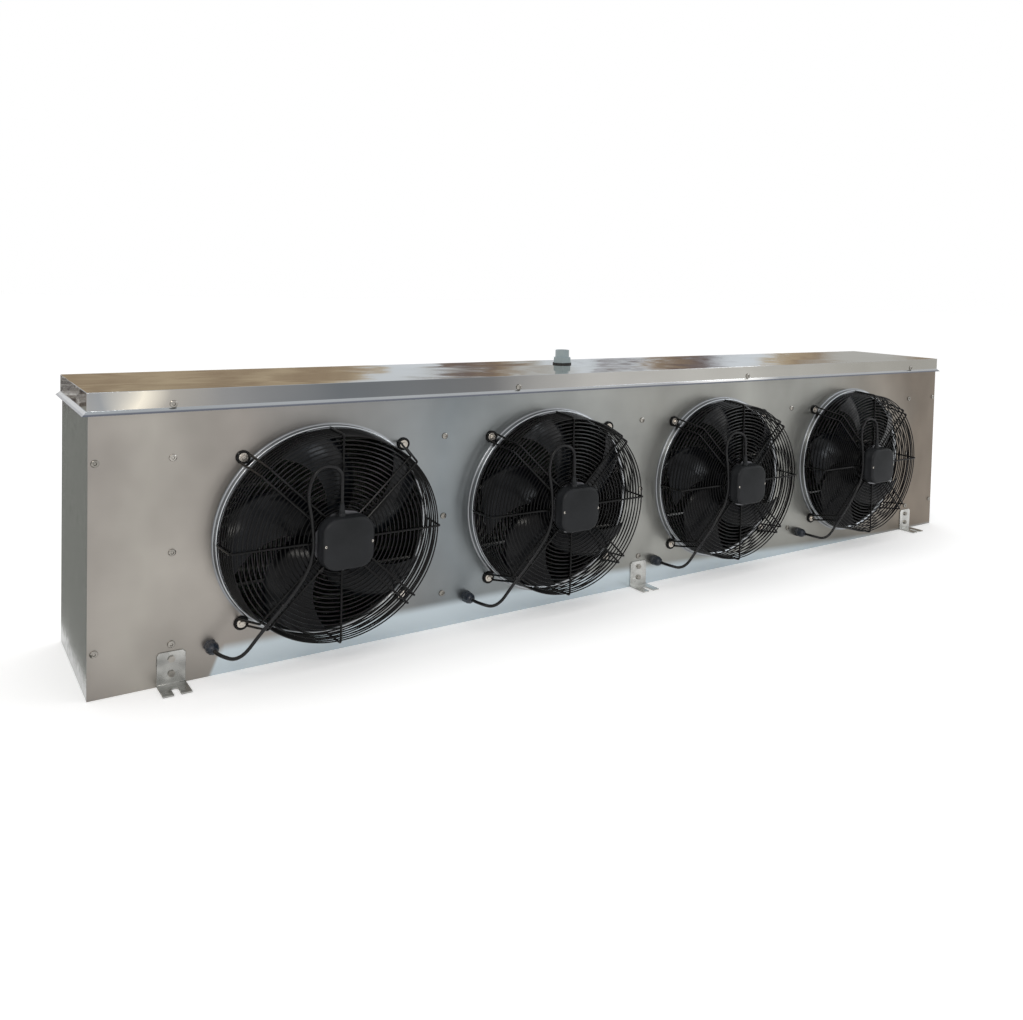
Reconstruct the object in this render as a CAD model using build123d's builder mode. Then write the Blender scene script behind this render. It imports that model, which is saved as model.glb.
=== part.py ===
from build123d import *
import os
from math import cos, radians, sin, tan

os.makedirs("parts", exist_ok=True)

# A four-fan unit cooler, standing on its ceiling face with the drain pan on top.
# Origin: middle of the ceiling face.  +X runs along the length, the fans blow towards -Y.

# ------------------------------------------------------------------ casing sizes
casing_length = 2476.0
casing_depth = 358.0
casing_height = 558.5
sheet = 1.5
flange_width = 26.0
rear_kick_height = 72.0
rear_rail_height = 40.0

# Tube sheets divide the casing into one bay for each fan, between two end compartments
bay_count = 4
end_bay = 138.0
tube_sheet_thickness = 2.0
tube_sheet_drop = 30.5

# ------------------------------------------------------------------ drain pan sizes
pan_wall_height = 34.0
pan_gap = 1.5
pan_hem_reach = 8.0
tray_lip = 9.0
tray_fall = 8.0
tray_sheet = 1.2
tray_front_setback = 28.0
tray_rear_overhang = 4.0

drain_x = -95.0
drain_y = 62.0
drain_radius = 19.0
drain_sides = 24
drain_bore = 15.5
drain_free_length = 18.0
drain_free_radius = 18.5
drain_thread_margin = 1.5
drain_flange_radius = 27.0
drain_flange_thickness = 5.0
drain_gasket_thickness = 4.0
drain_gasket_radius = 25.0
drain_nut_radius = 25.5
drain_nut_height = 14.0
thread_clearance = 0.05

# ------------------------------------------------------------------ coil sizes
coil_depth = 176.0
coil_rear_setback = 10.0
coil_bottom = 16.0
coil_top_drop = 8.0
coil_end_gap = 0.5
fin_pitch = 90.0
fin_depth = 16.0
fin_thickness = 2.0
tube_diameter = 12.7
tube_rows = 4
tube_columns = 6
return_bend_reach = 30.0

header_radius = 19.0
suction_radius = 17.5
header_x_inset = 74.0
header_bottom = 96.0
header_top_drop = 20.0
header_sides = 12
header_feed_radius = 5.0
suction_stub_z = 150.0
pipe_stub_reach = 28.0
pipe_shoulder = 0.5
pipe_shoulder_stand = 2.0

liquid_radius = 8.0
liquid_pipe_spacing = 40.0
distributor_z = 300.0
distributor_radius = 14.0
distributor_length = 34.0
distributor_taper = 8.0
capillary_radius = 2.5
capillary_spread = 60.0
pipe_hole_clearance = 1.5

heater_radius = 4.25
heater_hole_clearance = 0.25
heater_standoff = 9.0
heater_pitch = 148.0
heater_overhang = 22.0

box_width = 120.0
box_height = 190.0
box_reach = 62.0
box_lid_thickness = 4.0
box_wall = 2.5
box_bottom = 170.0

# ------------------------------------------------------------------ fan sizes
fan_closeness = 9.0
fan_drop = 21.75
nozzle_radius = 205.0
nozzle_rim_radius = 216.0
nozzle_reach = 14.0
nozzle_lip = 3.0
nozzle_sides = 32

tip_clearance = 5.0
blade_count = 5
blade_thickness = 1.6
blade_mid_radius = 120.0
blade_root_chord = 62.0
blade_mid_chord = 108.0
blade_tip_chord = 140.0
blade_mid_sweep = 16.0
blade_tip_sweep = 52.0
blade_angle = 22.0
blade_camber = 24.0
blade_folds = 6
blade_plane = 12.0

rotor_radius = 55.0
rotor_wall = 9.0
rotor_sides = 24
rotor_back = -6.0
rotor_front = 82.0
rotor_back_wall = 7.0
stator_gap = 2.0
stator_end_gap = 4.0
shaft_radius = 6.0
shaft_clearance = 0.05
shaft_length = 58.0
bore_end_gap = 6.0

# ------------------------------------------------------------------ guard sizes
guard_front = 97.5
guard_radius = 211.5
guard_back = 17.0
ring_wire = 3.0
spoke_wire = 4.5
face_ring_count = 6
face_ring_pitch = 27.0
side_ring_count = 2
small_ring_radius = 120.0
small_ring_sides = 8
face_ring_sides = 12
side_ring_sides = 16
eye_sides = 6
mount_ring_sides = 8
spoke_pair_gap = 20.0
guard_flare = 4.5
eye_circle_radius = 232.0
eye_outer_radius = 14.0
eye_wire = 4.0
eye_leg_inset = 8.0
spoke_inner_radius = 47.0
mount_ring_outer = 58.0
mount_ring_inner = 48.5
mount_ring_thickness = 2.5

motor_flange_radius = 60.0
motor_sides = 16
motor_flange_thickness = 5.5
cover_width = 104.0
cover_corner = 30.0
cover_corner_sides = 3
cover_depth = 34.0
cover_bevel = 4.0
boot_x = -9.0
boot_radius = 6.0
boot_length = 14.0
boot_depth = 12.0

# ------------------------------------------------------------------ motor lead and gland
lead_radius = 3.5
lead_sides = 4
gland_inset = 50.5
gland_drop = -198.0
gland_base_radius = 13.0
gland_base_height = 9.0
gland_nut_radius = 12.0
gland_taper = 8.5
gland_length = 34.0
gland_thread_radius = 8.0
gland_thread_clearance = 0.3

# ------------------------------------------------------------------ brackets and their bolts
bracket_width = 50.0
bracket_height = 64.0
bracket_foot = 60.0
bracket_thickness = 3.0
bracket_corner = 5.0
bracket_slot_width = 12.0
bracket_slot_depth = 26.0
bracket_bolt_heights = (22.0, 50.0)

head_radius = 6.5
head_height = 4.0

# ------------------------------------------------------------------ derived places
half_length = casing_length / 2
half_depth = casing_depth / 2
front_face = -half_depth
rear_face = half_depth
bay_pitch = (casing_length - 2 * end_bay) / bay_count
fan_pitch = bay_pitch - fan_closeness
fan_height = casing_height / 2 - fan_drop
gland_x = gland_inset - fan_pitch / 2
column_places = [(i - bay_count / 2) * bay_pitch for i in range(bay_count + 1)]
fan_places = [(i - (bay_count - 1) / 2) * fan_pitch for i in range(bay_count)]
outer_column = column_places[-1]
coil_rear = rear_face - coil_rear_setback
coil_front = coil_rear - coil_depth
left_web_face = -outer_column + flange_width / 2 - tube_sheet_thickness
right_web_face = outer_column - flange_width / 2 + tube_sheet_thickness
tube_sheet_height = casing_height - tube_sheet_drop
coil_top = tube_sheet_height - coil_top_drop
header_top = coil_top - header_top_drop
heater_heights = [(coil_bottom + coil_top) / 2 + i * heater_pitch for i in (-1, 0, 1)]
row_pitch = coil_depth / tube_rows
tube_pitch = (coil_top - coil_bottom) / tube_columns
tube_ys = [coil_front + (row + 0.5) * row_pitch for row in range(tube_rows)]
tube_zs = [coil_bottom + (column + 0.5) * tube_pitch for column in range(tube_columns)]
header_x = half_length - header_x_inset
liquid_x = header_x + liquid_pipe_spacing
pan_top = casing_height + sheet
pan_reach = pan_gap + sheet
spoke_back = guard_front - spoke_wire
ring_back = spoke_back - ring_wire
cover_seat = guard_front + motor_flange_thickness
eye_angles = (45, 135, 225, 315)
single_spoke_angles = (0, 90, 180, 270)
blade_tip_radius = nozzle_radius - tip_clearance


def save(piece, name):
    piece.label = name
    export_step(piece, f"parts/{name}.step")


def fan_seat(centre_x):
    """Plane on the front panel at a fan's centre, with its normal pointing outwards."""
    return Plane(
        origin=(centre_x, front_face, fan_height), x_dir=(1, 0, 0), z_dir=(0, -1, 0)
    )


# ------------------------------------------------------------------ front panel
with BuildPart() as front_panel:
    panel_plane = fan_seat(0)
    with BuildSketch(panel_plane.offset(-sheet)):
        with Locations((0, casing_height / 2 - fan_height)):
            Rectangle(casing_length, casing_height)
    extrude(amount=sheet)
    with BuildSketch(panel_plane):
        with Locations(*[(x, 0) for x in fan_places]):
            RegularPolygon(nozzle_rim_radius, nozzle_sides)
    extrude(amount=nozzle_reach - nozzle_lip)
    with BuildSketch(panel_plane.offset(nozzle_reach - nozzle_lip)):
        with Locations(*[(x, 0) for x in fan_places]):
            RegularPolygon(nozzle_rim_radius, nozzle_sides)
    extrude(amount=nozzle_lip, taper=45)
    with BuildSketch(panel_plane.offset(-sheet)):
        with Locations(*[(x, 0) for x in fan_places]):
            RegularPolygon(nozzle_radius, nozzle_sides, major_radius=False)
        with Locations(*[(x + gland_x, gland_drop) for x in fan_places]):
            Circle(gland_thread_radius + gland_thread_clearance)
    extrude(amount=sheet + nozzle_reach, mode=Mode.SUBTRACT)
save(front_panel.part, "front_panel")


# ------------------------------------------------------------------ ceiling panel and rear rail
with BuildPart() as ceiling_panel:
    with BuildSketch():
        with Locations((0, sheet / 2)):
            Rectangle(casing_length - 2 * sheet, casing_depth - 3 * sheet)
        with Locations((0, rear_face - sheet / 2)):
            Rectangle(2 * outer_column, sheet)
    extrude(amount=sheet)
    with BuildSketch(Plane.XY.offset(sheet)):
        with Locations((0, rear_face - sheet / 2)):
            Rectangle(2 * outer_column, sheet)
    extrude(amount=rear_kick_height - sheet)
save(ceiling_panel.part, "ceiling_panel")

with BuildPart() as rear_rail:
    with BuildSketch(Plane.XY.offset(casing_height - rear_rail_height)):
        with Locations((0, rear_face - sheet / 2)):
            Rectangle(2 * outer_column, sheet)
    extrude(amount=rear_rail_height)
    with BuildSketch(Plane.XY.offset(casing_height - rear_rail_height)):
        with Locations((0, (coil_rear + rear_face) / 2)):
            Rectangle(2 * outer_column, coil_rear_setback)
    extrude(amount=-sheet)
save(rear_rail.part, "rear_rail")


# ------------------------------------------------------------------ end covers
def end_cover(side):
    """Folded end cover: end sheet, front flange behind the panel, and a full rear wall."""
    end_x = side * half_length
    flange_end = side * (half_length - flange_width)
    wall_end = side * outer_column
    outline = [
        (flange_end, front_face + sheet),
        (end_x, front_face + sheet),
        (end_x, rear_face),
        (wall_end, rear_face),
        (wall_end, rear_face - sheet),
        (end_x - side * sheet, rear_face - sheet),
        (end_x - side * sheet, front_face + 2 * sheet),
        (flange_end, front_face + 2 * sheet),
    ]
    with BuildPart() as cover:
        with BuildSketch():
            with BuildLine():
                Polyline(*outline, close=True)
            make_face()
        extrude(amount=casing_height)
        if side > 0:
            pipe_wall = Plane(
                origin=(0, rear_face - sheet, 0), x_dir=(1, 0, 0), z_dir=(0, -1, 0)
            )
            with BuildSketch(pipe_wall):
                with Locations((header_x, suction_stub_z)):
                    Circle(suction_radius + pipe_shoulder + pipe_hole_clearance)
                with Locations((liquid_x, distributor_z)):
                    Circle(liquid_radius + pipe_shoulder + pipe_hole_clearance)
            extrude(amount=-sheet, mode=Mode.SUBTRACT)
    return cover.part


save(end_cover(-1), "left_end_cover")
save(end_cover(1), "right_end_cover")


# ------------------------------------------------------------------ tube sheets
def column_side(column_x):
    """Webs stand on the right of their screws, and the last one on the left."""
    return -1 if column_x == outer_column else 1


def tube_sheet(column_x):
    """L-shaped plate: a web across the casing and a flange behind the front panel."""
    side = column_side(column_x)
    web_x = column_x + side * flange_width / 2
    flange_x = column_x - side * flange_width / 2
    front = front_face + sheet
    outline = [
        (flange_x, front),
        (web_x, front),
        (web_x, coil_rear),
        (web_x - side * tube_sheet_thickness, coil_rear),
        (web_x - side * tube_sheet_thickness, front + tube_sheet_thickness),
        (flange_x, front + tube_sheet_thickness),
    ]
    web_plane = Plane(origin=(web_x, 0, 0), x_dir=(0, 1, 0), z_dir=(1, 0, 0))
    with BuildPart() as plate:
        with BuildSketch(Plane.XY.offset(sheet)):
            with BuildLine():
                Polyline(*outline, close=True)
            make_face()
        extrude(amount=tube_sheet_height - sheet)
        with BuildSketch(web_plane):
            with Locations(*[(coil_front - heater_standoff, z) for z in heater_heights]):
                RegularPolygon(heater_radius + heater_hole_clearance, 6)
        extrude(
            amount=-side * tube_sheet_thickness, mode=Mode.SUBTRACT
        )
    return plate.part


tube_sheets = Compound(label="tube_sheets", children=[tube_sheet(x) for x in column_places])
save(tube_sheets, "tube_sheets")


# ------------------------------------------------------------------ finned coil
def bay_walls(bay):
    """The two web faces that close a bay."""
    left_x = column_places[bay] + flange_width / 2
    right_column = column_places[bay + 1]
    if right_column == outer_column:
        return left_x, right_column - flange_width / 2
    return left_x, right_column + flange_width / 2 - tube_sheet_thickness


for bay in range(bay_count):
    left_x, right_x = bay_walls(bay)
    middle_x = (left_x + right_x) / 2
    fins_length = right_x - left_x - 2 * coil_end_gap
    fin_count = int(fins_length / fin_pitch)
    fin_places = [(i - (fin_count - 1) / 2) * fin_pitch for i in range(fin_count)]
    with BuildPart() as coil_block:
        with BuildSketch(Plane.XY.offset(coil_bottom)):
            with Locations((middle_x, (coil_front + coil_rear - fin_depth) / 2)):
                Rectangle(fins_length, coil_depth - fin_depth)
            with Locations(*[(middle_x + place, coil_rear - fin_depth / 2) for place in fin_places]):
                Rectangle(fin_thickness, fin_depth)
        extrude(amount=coil_top - coil_bottom)
    save(coil_block.part, f"coil_block_{bay + 1}")


def return_bend(web_face, side, y, z):
    """A squared-off hairpin between two tube ends, standing on the end web."""
    bend_plane = Plane(origin=(web_face, y, z), x_dir=(side, 0, 0), z_dir=(0, 0, 1))
    half = row_pitch / 2
    outer = half + tube_diameter / 2
    inner = half - tube_diameter / 2
    reach = return_bend_reach
    shoulder = reach - outer / 2
    with BuildPart() as bend:
        with BuildSketch(bend_plane.offset(-tube_diameter / 2)):
            with BuildLine():
                Polyline(
                    (0, -outer),
                    (shoulder, -outer),
                    (reach, -outer / 2),
                    (reach, outer / 2),
                    (shoulder, outer),
                    (0, outer),
                    (0, inner),
                    (reach - tube_diameter, inner / 2),
                    (reach - tube_diameter, -inner / 2),
                    (0, -inner),
                    close=True,
                )
            make_face()
        extrude(amount=tube_diameter)
    return bend.part


def return_bends(web_face, side, first_row):
    """Hairpins joining neighbouring rows at one end of the coil."""
    bends = []
    for z in tube_zs:
        for row in range(first_row, tube_rows - 1, 2):
            y = (tube_ys[row] + tube_ys[row + 1]) / 2
            bends.append(return_bend(web_face, side, y, z))
    return bends


left_bends = Compound(label="left_bends", children=return_bends(left_web_face, -1, 0))
save(left_bends, "left_return_bends")
right_bends = Compound(label="right_bends", children=return_bends(right_web_face, 1, 1))
save(right_bends, "right_return_bends")


# ------------------------------------------------------------------ suction header and liquid line
def pipe_end(radius, origin):
    """Round free end of a pipe, outside the rear wall, with a small cone at its root."""
    root = Plane(origin=origin, x_dir=(1, 0, 0), z_dir=(0, 1, 0))
    free_length = pipe_stub_reach - pipe_shoulder_stand - pipe_shoulder
    with BuildPart() as end:
        with Locations(root.offset(pipe_shoulder / 2)):
            Cone(radius + pipe_shoulder, radius, pipe_shoulder)
        with Locations(root.offset(pipe_shoulder + free_length / 2)):
            Cylinder(radius, free_length)
    return end.part


pipe_root = rear_face + pipe_shoulder_stand
with BuildPart() as suction_header:
    with BuildSketch(Plane.XY.offset(header_bottom)):
        with Locations((header_x, tube_ys[-1])):
            RegularPolygon(header_radius, header_sides)
    extrude(amount=header_top - header_bottom)
    stub_plane = Plane(
        origin=(header_x, tube_ys[-1], suction_stub_z), x_dir=(1, 0, 0), z_dir=(0, 1, 0)
    )
    with BuildSketch(stub_plane):
        RegularPolygon(suction_radius + pipe_shoulder, header_sides)
    extrude(amount=pipe_root - tube_ys[-1])
    add(pipe_end(suction_radius, (header_x, pipe_root, suction_stub_z)))
    feed_plane = Plane(
        origin=(right_web_face, tube_ys[-1], 0), x_dir=(0, 1, 0), z_dir=(1, 0, 0)
    )
    with BuildSketch(feed_plane):
        with Locations(*[(0, z) for z in tube_zs[1::2]]):
            RegularPolygon(header_feed_radius, 6)
    extrude(amount=header_x - right_web_face)
save(suction_header.part, "suction_header")

with BuildPart() as liquid_distributor:
    body_plane = Plane(
        origin=(liquid_x, tube_ys[0], distributor_z), x_dir=(1, 0, 0), z_dir=(0, 1, 0)
    )
    with BuildSketch(body_plane):
        RegularPolygon(distributor_radius, header_sides)
    extrude(amount=distributor_length, taper=distributor_taper)
    with BuildSketch(body_plane.offset(distributor_length)):
        RegularPolygon(liquid_radius + pipe_shoulder, header_sides)
    extrude(amount=pipe_root - tube_ys[0] - distributor_length)
    add(pipe_end(liquid_radius, (liquid_x, pipe_root, distributor_z)))
    for rise in (-capillary_spread, 0, capillary_spread):
        start = Vector(liquid_x, tube_ys[0] + capillary_radius, distributor_z)
        end = Vector(right_web_face - flange_width, start.Y, distributor_z + rise)
        with BuildSketch(Plane(origin=start, z_dir=end - start)):
            RegularPolygon(capillary_radius, 4)
        extrude(amount=(end - start).length)
    web_cut = Plane(origin=(right_web_face, 0, 0), x_dir=(0, 1, 0), z_dir=(1, 0, 0))
    split(bisect_by=web_cut, keep=Keep.TOP)
save(liquid_distributor.part, "liquid_distributor")


# ------------------------------------------------------------------ defrost heaters and their box
def heater(z):
    """Straight sheathed rod in front of the coil, through every tube sheet."""
    reach = outer_column + heater_overhang
    rod_plane = Plane(
        origin=(-reach, coil_front - heater_standoff, z), x_dir=(0, 1, 0), z_dir=(1, 0, 0)
    )
    with BuildPart() as rod:
        with BuildSketch(rod_plane):
            RegularPolygon(heater_radius, 6)
        extrude(amount=2 * reach)
    return rod.part


heaters = Compound(label="heaters", children=[heater(z) for z in heater_heights])
save(heaters, "defrost_heaters")

box_plane = Plane(
    origin=(left_web_face, (front_face + coil_front) / 2, box_bottom),
    x_dir=(0, -1, 0),
    z_dir=(-1, 0, 0),
)
with BuildPart() as terminal_box:
    with BuildSketch(box_plane):
        with Locations((0, box_height / 2)):
            Rectangle(box_width, box_height)
    extrude(amount=box_reach)
    open_face = terminal_box.faces().sort_by(Axis.X)[0]
    offset(amount=-box_wall, openings=open_face)
save(terminal_box.part, "terminal_box")

with BuildPart() as terminal_box_lid:
    with BuildSketch(box_plane.offset(box_reach)):
        with Locations((0, box_height / 2)):
            Rectangle(box_width, box_height)
    extrude(amount=box_lid_thickness)
save(terminal_box_lid.part, "terminal_box_lid")


# ------------------------------------------------------------------ drain pan and inner tray
with BuildPart() as drain_pan:
    with BuildSketch(Plane.XY.offset(pan_top)):
        Rectangle(casing_length + 2 * pan_reach, casing_depth + 2 * pan_reach)
    extrude(amount=-pan_wall_height)
    with BuildSketch(Plane.XY.offset(pan_top - pan_wall_height)):
        Rectangle(casing_length + 2 * pan_reach, casing_depth + 2 * pan_reach)
    extrude(amount=-pan_hem_reach, taper=-45)
    with BuildSketch(Plane.XY.offset(casing_height)):
        Rectangle(casing_length + 2 * pan_gap, casing_depth + 2 * pan_gap)
    extrude(amount=sheet - pan_wall_height, mode=Mode.SUBTRACT)
    with BuildSketch(Plane.XY.offset(pan_top - pan_wall_height)):
        Rectangle(casing_length + 2 * pan_gap, casing_depth + 2 * pan_gap)
    extrude(amount=-pan_hem_reach, taper=-45, mode=Mode.SUBTRACT)
    with BuildSketch(Plane.XY.offset(casing_height)):
        with Locations((drain_x, drain_y)):
            RegularPolygon(drain_radius + thread_clearance, drain_sides, major_radius=False)
    extrude(amount=sheet, mode=Mode.SUBTRACT)
save(drain_pan.part, "drain_pan")

tray_front = front_face + tray_front_setback
tray_rear = coil_rear + tray_rear_overhang
tray_profile = [
    (tray_front, tube_sheet_height),
    (tray_front, tube_sheet_height + tray_lip),
    (drain_y, tube_sheet_height + tray_lip + tray_fall),
    (tray_rear, tube_sheet_height + tray_lip),
    (tray_rear, tube_sheet_height),
]
tray_length = 2 * outer_column + flange_width
with BuildPart() as inner_drip_tray:
    with BuildSketch(Plane(origin=(-tray_length / 2, 0, 0), x_dir=(0, 1, 0), z_dir=(1, 0, 0))):
        with BuildLine():
            Polyline(*tray_profile)
            offset(amount=tray_sheet, side=Side.LEFT)
        make_face()
    extrude(amount=tray_length)
save(inner_drip_tray.part, "inner_drip_tray")

def threaded_hole():
    """Many-sided hole that clears the drain outlet's thread."""
    return RegularPolygon(
        drain_radius + thread_clearance, drain_sides, major_radius=False, mode=Mode.SUBTRACT
    )


thread_top = pan_top + drain_gasket_thickness + drain_nut_height + drain_thread_margin
drain_step = drain_radius - drain_free_radius
flange_bottom = casing_height - drain_flange_thickness
with BuildPart() as drain_outlet:
    with BuildSketch(Plane.XY.offset(flange_bottom)):
        with Locations((drain_x, drain_y)):
            RegularPolygon(drain_flange_radius, drain_sides)
    extrude(amount=drain_flange_thickness)
    with BuildSketch(Plane.XY.offset(flange_bottom)):
        with Locations((drain_x, drain_y)):
            RegularPolygon(drain_radius, drain_sides)
    extrude(amount=thread_top - flange_bottom)
    with Locations((drain_x, drain_y, thread_top + drain_step / 2)):
        Cone(drain_radius, drain_free_radius, drain_step)
    with Locations((drain_x, drain_y, thread_top + drain_step + drain_free_length / 2)):
        Cylinder(drain_free_radius, drain_free_length)
    with BuildSketch(Plane.XY.offset(flange_bottom)):
        with Locations((drain_x, drain_y)):
            RegularPolygon(drain_bore, drain_sides)
    extrude(amount=thread_top + drain_step + drain_free_length - flange_bottom, mode=Mode.SUBTRACT)
save(drain_outlet.part, "drain_outlet")

with BuildPart() as drain_gasket:
    with BuildSketch(Plane.XY.offset(pan_top)):
        with Locations((drain_x, drain_y)):
            RegularPolygon(drain_gasket_radius, drain_sides)
            threaded_hole()
    extrude(amount=drain_gasket_thickness)
save(drain_gasket.part, "drain_gasket")

with BuildPart() as drain_nut:
    with BuildSketch(Plane.XY.offset(pan_top + drain_gasket_thickness)):
        with Locations((drain_x, drain_y)):
            RegularPolygon(drain_nut_radius, 6)
            threaded_hole()
    extrude(amount=drain_nut_height)
save(drain_nut.part, "drain_nut")


# ------------------------------------------------------------------ impeller
# Fan parts are drawn once about the Z axis, with the panel's front face at Z = 0
# and +Z pointing out of the casing, and are then seated at each fan's centre.
def blade():
    """Pressed sheet blade: an even camber, a swept outline, trimmed round at the tip."""
    span = blade_tip_radius - rotor_radius
    chord_line = Plane.XZ.offset(-rotor_radius / 2)
    shares = [2 * i / blade_folds - 1 for i in range(blade_folds + 1)]
    camber = [(share * blade_tip_chord, blade_camber * (1 - share**2)) for share in shares]
    with BuildPart() as wing:
        with BuildSketch(chord_line):
            with BuildLine():
                Polyline(*camber, *[(x, z + blade_thickness) for x, z in reversed(camber)], close=True)
            make_face()
        extrude(amount=-(rotor_radius / 2 + span + tip_clearance))
    tilted = wing.part.rotate(Axis.Y, -blade_angle).translate((0, 0, blade_plane))
    outline = [
        (-blade_root_chord / 2, 0),
        (blade_root_chord / 2, 0),
        (blade_mid_chord / 2 + blade_mid_sweep, blade_mid_radius),
        (blade_tip_chord / 2 + blade_tip_sweep, blade_tip_radius + tip_clearance),
        (-blade_tip_chord / 2 + blade_tip_sweep, blade_tip_radius + tip_clearance),
        (-blade_mid_chord / 2 + blade_mid_sweep, blade_mid_radius),
    ]
    with BuildPart() as cutter:
        with BuildSketch(Plane.XY.offset(rotor_back)):
            with BuildLine():
                Polyline(*outline, close=True)
            make_face()
        extrude(amount=rotor_front - rotor_back)
        with BuildSketch(Plane.XY.offset(rotor_back)):
            Circle(blade_tip_radius)
            Circle(rotor_radius - rotor_wall / 2, mode=Mode.SUBTRACT)
        extrude(amount=rotor_front - rotor_back, mode=Mode.INTERSECT)
    return tilted & cutter.part


with BuildPart() as impeller:
    with BuildSketch(Plane.XY.offset(rotor_back)):
        RegularPolygon(rotor_radius, rotor_sides)
    extrude(amount=rotor_front - rotor_back)
    one_blade = blade()
    for number in range(blade_count):
        add(one_blade.rotate(Axis.Z, number * 360 / blade_count))
    with BuildSketch(Plane.XY.offset(rotor_back + rotor_back_wall)):
        RegularPolygon(rotor_radius - rotor_wall, rotor_sides, major_radius=False)
    extrude(amount=rotor_front - rotor_back - rotor_back_wall, mode=Mode.SUBTRACT)
    with BuildSketch(Plane.XY.offset(rotor_back + rotor_back_wall)):
        Circle(shaft_radius)
    extrude(amount=shaft_length)


# ------------------------------------------------------------------ motor stator and terminal cover
stator_back = rotor_back + rotor_back_wall + stator_end_gap
shaft_tip = rotor_back + rotor_back_wall + shaft_length
with BuildPart() as motor:
    with BuildSketch(Plane.XY.offset(guard_front)):
        RegularPolygon(motor_flange_radius, motor_sides)
    extrude(amount=motor_flange_thickness)
    with BuildSketch(Plane.XY.offset(stator_back)):
        RegularPolygon(rotor_radius - rotor_wall - stator_gap, motor_sides)
    extrude(amount=guard_front - stator_back)
    with BuildSketch(Plane.XY.offset(stator_back)):
        Circle(shaft_radius + shaft_clearance)
    extrude(amount=shaft_tip + bore_end_gap - stator_back, mode=Mode.SUBTRACT)


def cover_outline():
    """Square with rounded corners, each drawn as short straight sides."""
    points = []
    inner = cover_width / 2 - cover_corner
    for quarter, (side_x, side_y) in enumerate(((1, 1), (-1, 1), (-1, -1), (1, -1))):
        for step in range(cover_corner_sides + 1):
            angle = radians(90 * (quarter + step / cover_corner_sides))
            x = side_x * inner + cover_corner * cos(angle)
            y = side_y * inner + cover_corner * sin(angle)
            points.append((x, y))
    return points


with BuildPart() as motor_cover:
    with BuildSketch(Plane.XY.offset(cover_seat)):
        with BuildLine():
            Polyline(*cover_outline(), close=True)
        make_face()
    extrude(amount=cover_depth)
    chamfer(motor_cover.faces().sort_by(Axis.Z)[-1].edges(), cover_bevel)
    boot_plane = Plane(
        origin=(boot_x, cover_width / 2, cover_seat + boot_depth), x_dir=(1, 0, 0), z_dir=(0, 1, 0)
    )
    with BuildSketch(boot_plane):
        RegularPolygon(boot_radius, 8)
    extrude(amount=boot_length)


# ------------------------------------------------------------------ fan guard
def radial_plane(angle):
    """Plane through the fan's axis: local X runs outwards, local Y along the axis."""
    out = Vector(cos(radians(angle)), sin(radians(angle)), 0)
    return Plane(origin=(0, 0, 0), x_dir=out, z_dir=(out.Y, -out.X, 0))


def ring(radius, bottom, sides):
    """One hoop of square wire, drawn with straight sides."""
    with BuildPart() as hoop:
        with BuildSketch(Plane.XY.offset(bottom)):
            RegularPolygon(radius, sides)
            RegularPolygon(radius - ring_wire, sides, mode=Mode.SUBTRACT)
        extrude(amount=ring_wire)
    return hoop.part


def spoke(plane, foot_radius, foot_height):
    """A bar across the face that bends back at the rim and ends at its foot."""
    rim = guard_radius
    with BuildPart() as bar:
        with BuildSketch(plane):
            with BuildLine():
                Polyline(
                    (spoke_inner_radius, spoke_back),
                    (spoke_inner_radius, guard_front),
                    (rim, guard_front),
                    (foot_radius, foot_height),
                    (foot_radius - spoke_wire, foot_height),
                    (rim - spoke_wire, spoke_back),
                    close=True,
                )
            make_face()
        extrude(amount=spoke_wire / 2, both=True)
    return bar.part


def eye(angle):
    """Flat foot that takes the guard's fixing screw, lying on the front panel."""
    place = radial_plane(angle).x_dir * eye_circle_radius
    with BuildPart() as loop:
        with BuildSketch():
            with Locations((place.X, place.Y)):
                RegularPolygon(eye_outer_radius, eye_sides)
        extrude(amount=eye_wire)
    return loop.part


def fan_guard():
    """Basket guard: face rings, side rings, four single spokes and four pairs with eyes."""
    pieces = []
    face_radius = guard_radius - spoke_wire
    for number in range(face_ring_count):
        radius = face_radius - number * face_ring_pitch
        sides = small_ring_sides if radius < small_ring_radius else face_ring_sides
        pieces.append(ring(radius, ring_back, sides))
    depth = ring_back - guard_back
    for number in range(side_ring_count):
        rise = number / side_ring_count
        radius = face_radius + guard_flare * (1 - rise) * depth / (guard_front - guard_back)
        pieces.append(ring(radius, guard_back + rise * depth, side_ring_sides))
    for angle in single_spoke_angles:
        pieces.append(spoke(radial_plane(angle), guard_radius + guard_flare, guard_back))
    foot_radius = eye_circle_radius - eye_leg_inset
    for angle in eye_angles:
        plane = radial_plane(angle)
        pieces.append(spoke(plane.offset(spoke_pair_gap / 2), foot_radius, eye_wire))
        pieces.append(spoke(plane.offset(-spoke_pair_gap / 2), foot_radius, eye_wire))
        pieces.append(eye(angle))
    with BuildPart() as mount_ring:
        with BuildSketch(Plane.XY.offset(spoke_back - mount_ring_thickness)):
            RegularPolygon(mount_ring_outer, mount_ring_sides)
            RegularPolygon(mount_ring_inner, mount_ring_sides, mode=Mode.SUBTRACT)
        extrude(amount=mount_ring_thickness)
    pieces.append(mount_ring.part)
    return pieces


# ------------------------------------------------------------------ motor lead and cable gland
gland_place = Vector(gland_x, gland_drop, 0)
lead_start = Vector(boot_x, cover_width / 2 + boot_length, cover_seat + boot_depth)
lead_route = [
    lead_start,
    lead_start + Vector(0, 34, 0),
    Vector(-6, 146, 108),
    Vector(-52, 154, 106),
    Vector(-75, 104, 107),
    Vector(-62, 40, 108.5),
    Vector(-60, -32, 108),
    Vector(-98, -96, 102),
    Vector(-152, -152, 101.6),
    Vector(-190, -206, 92),
    gland_place + Vector(0, 0, gland_length + 24),
    gland_place + Vector(0, 0, gland_length),
]


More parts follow.
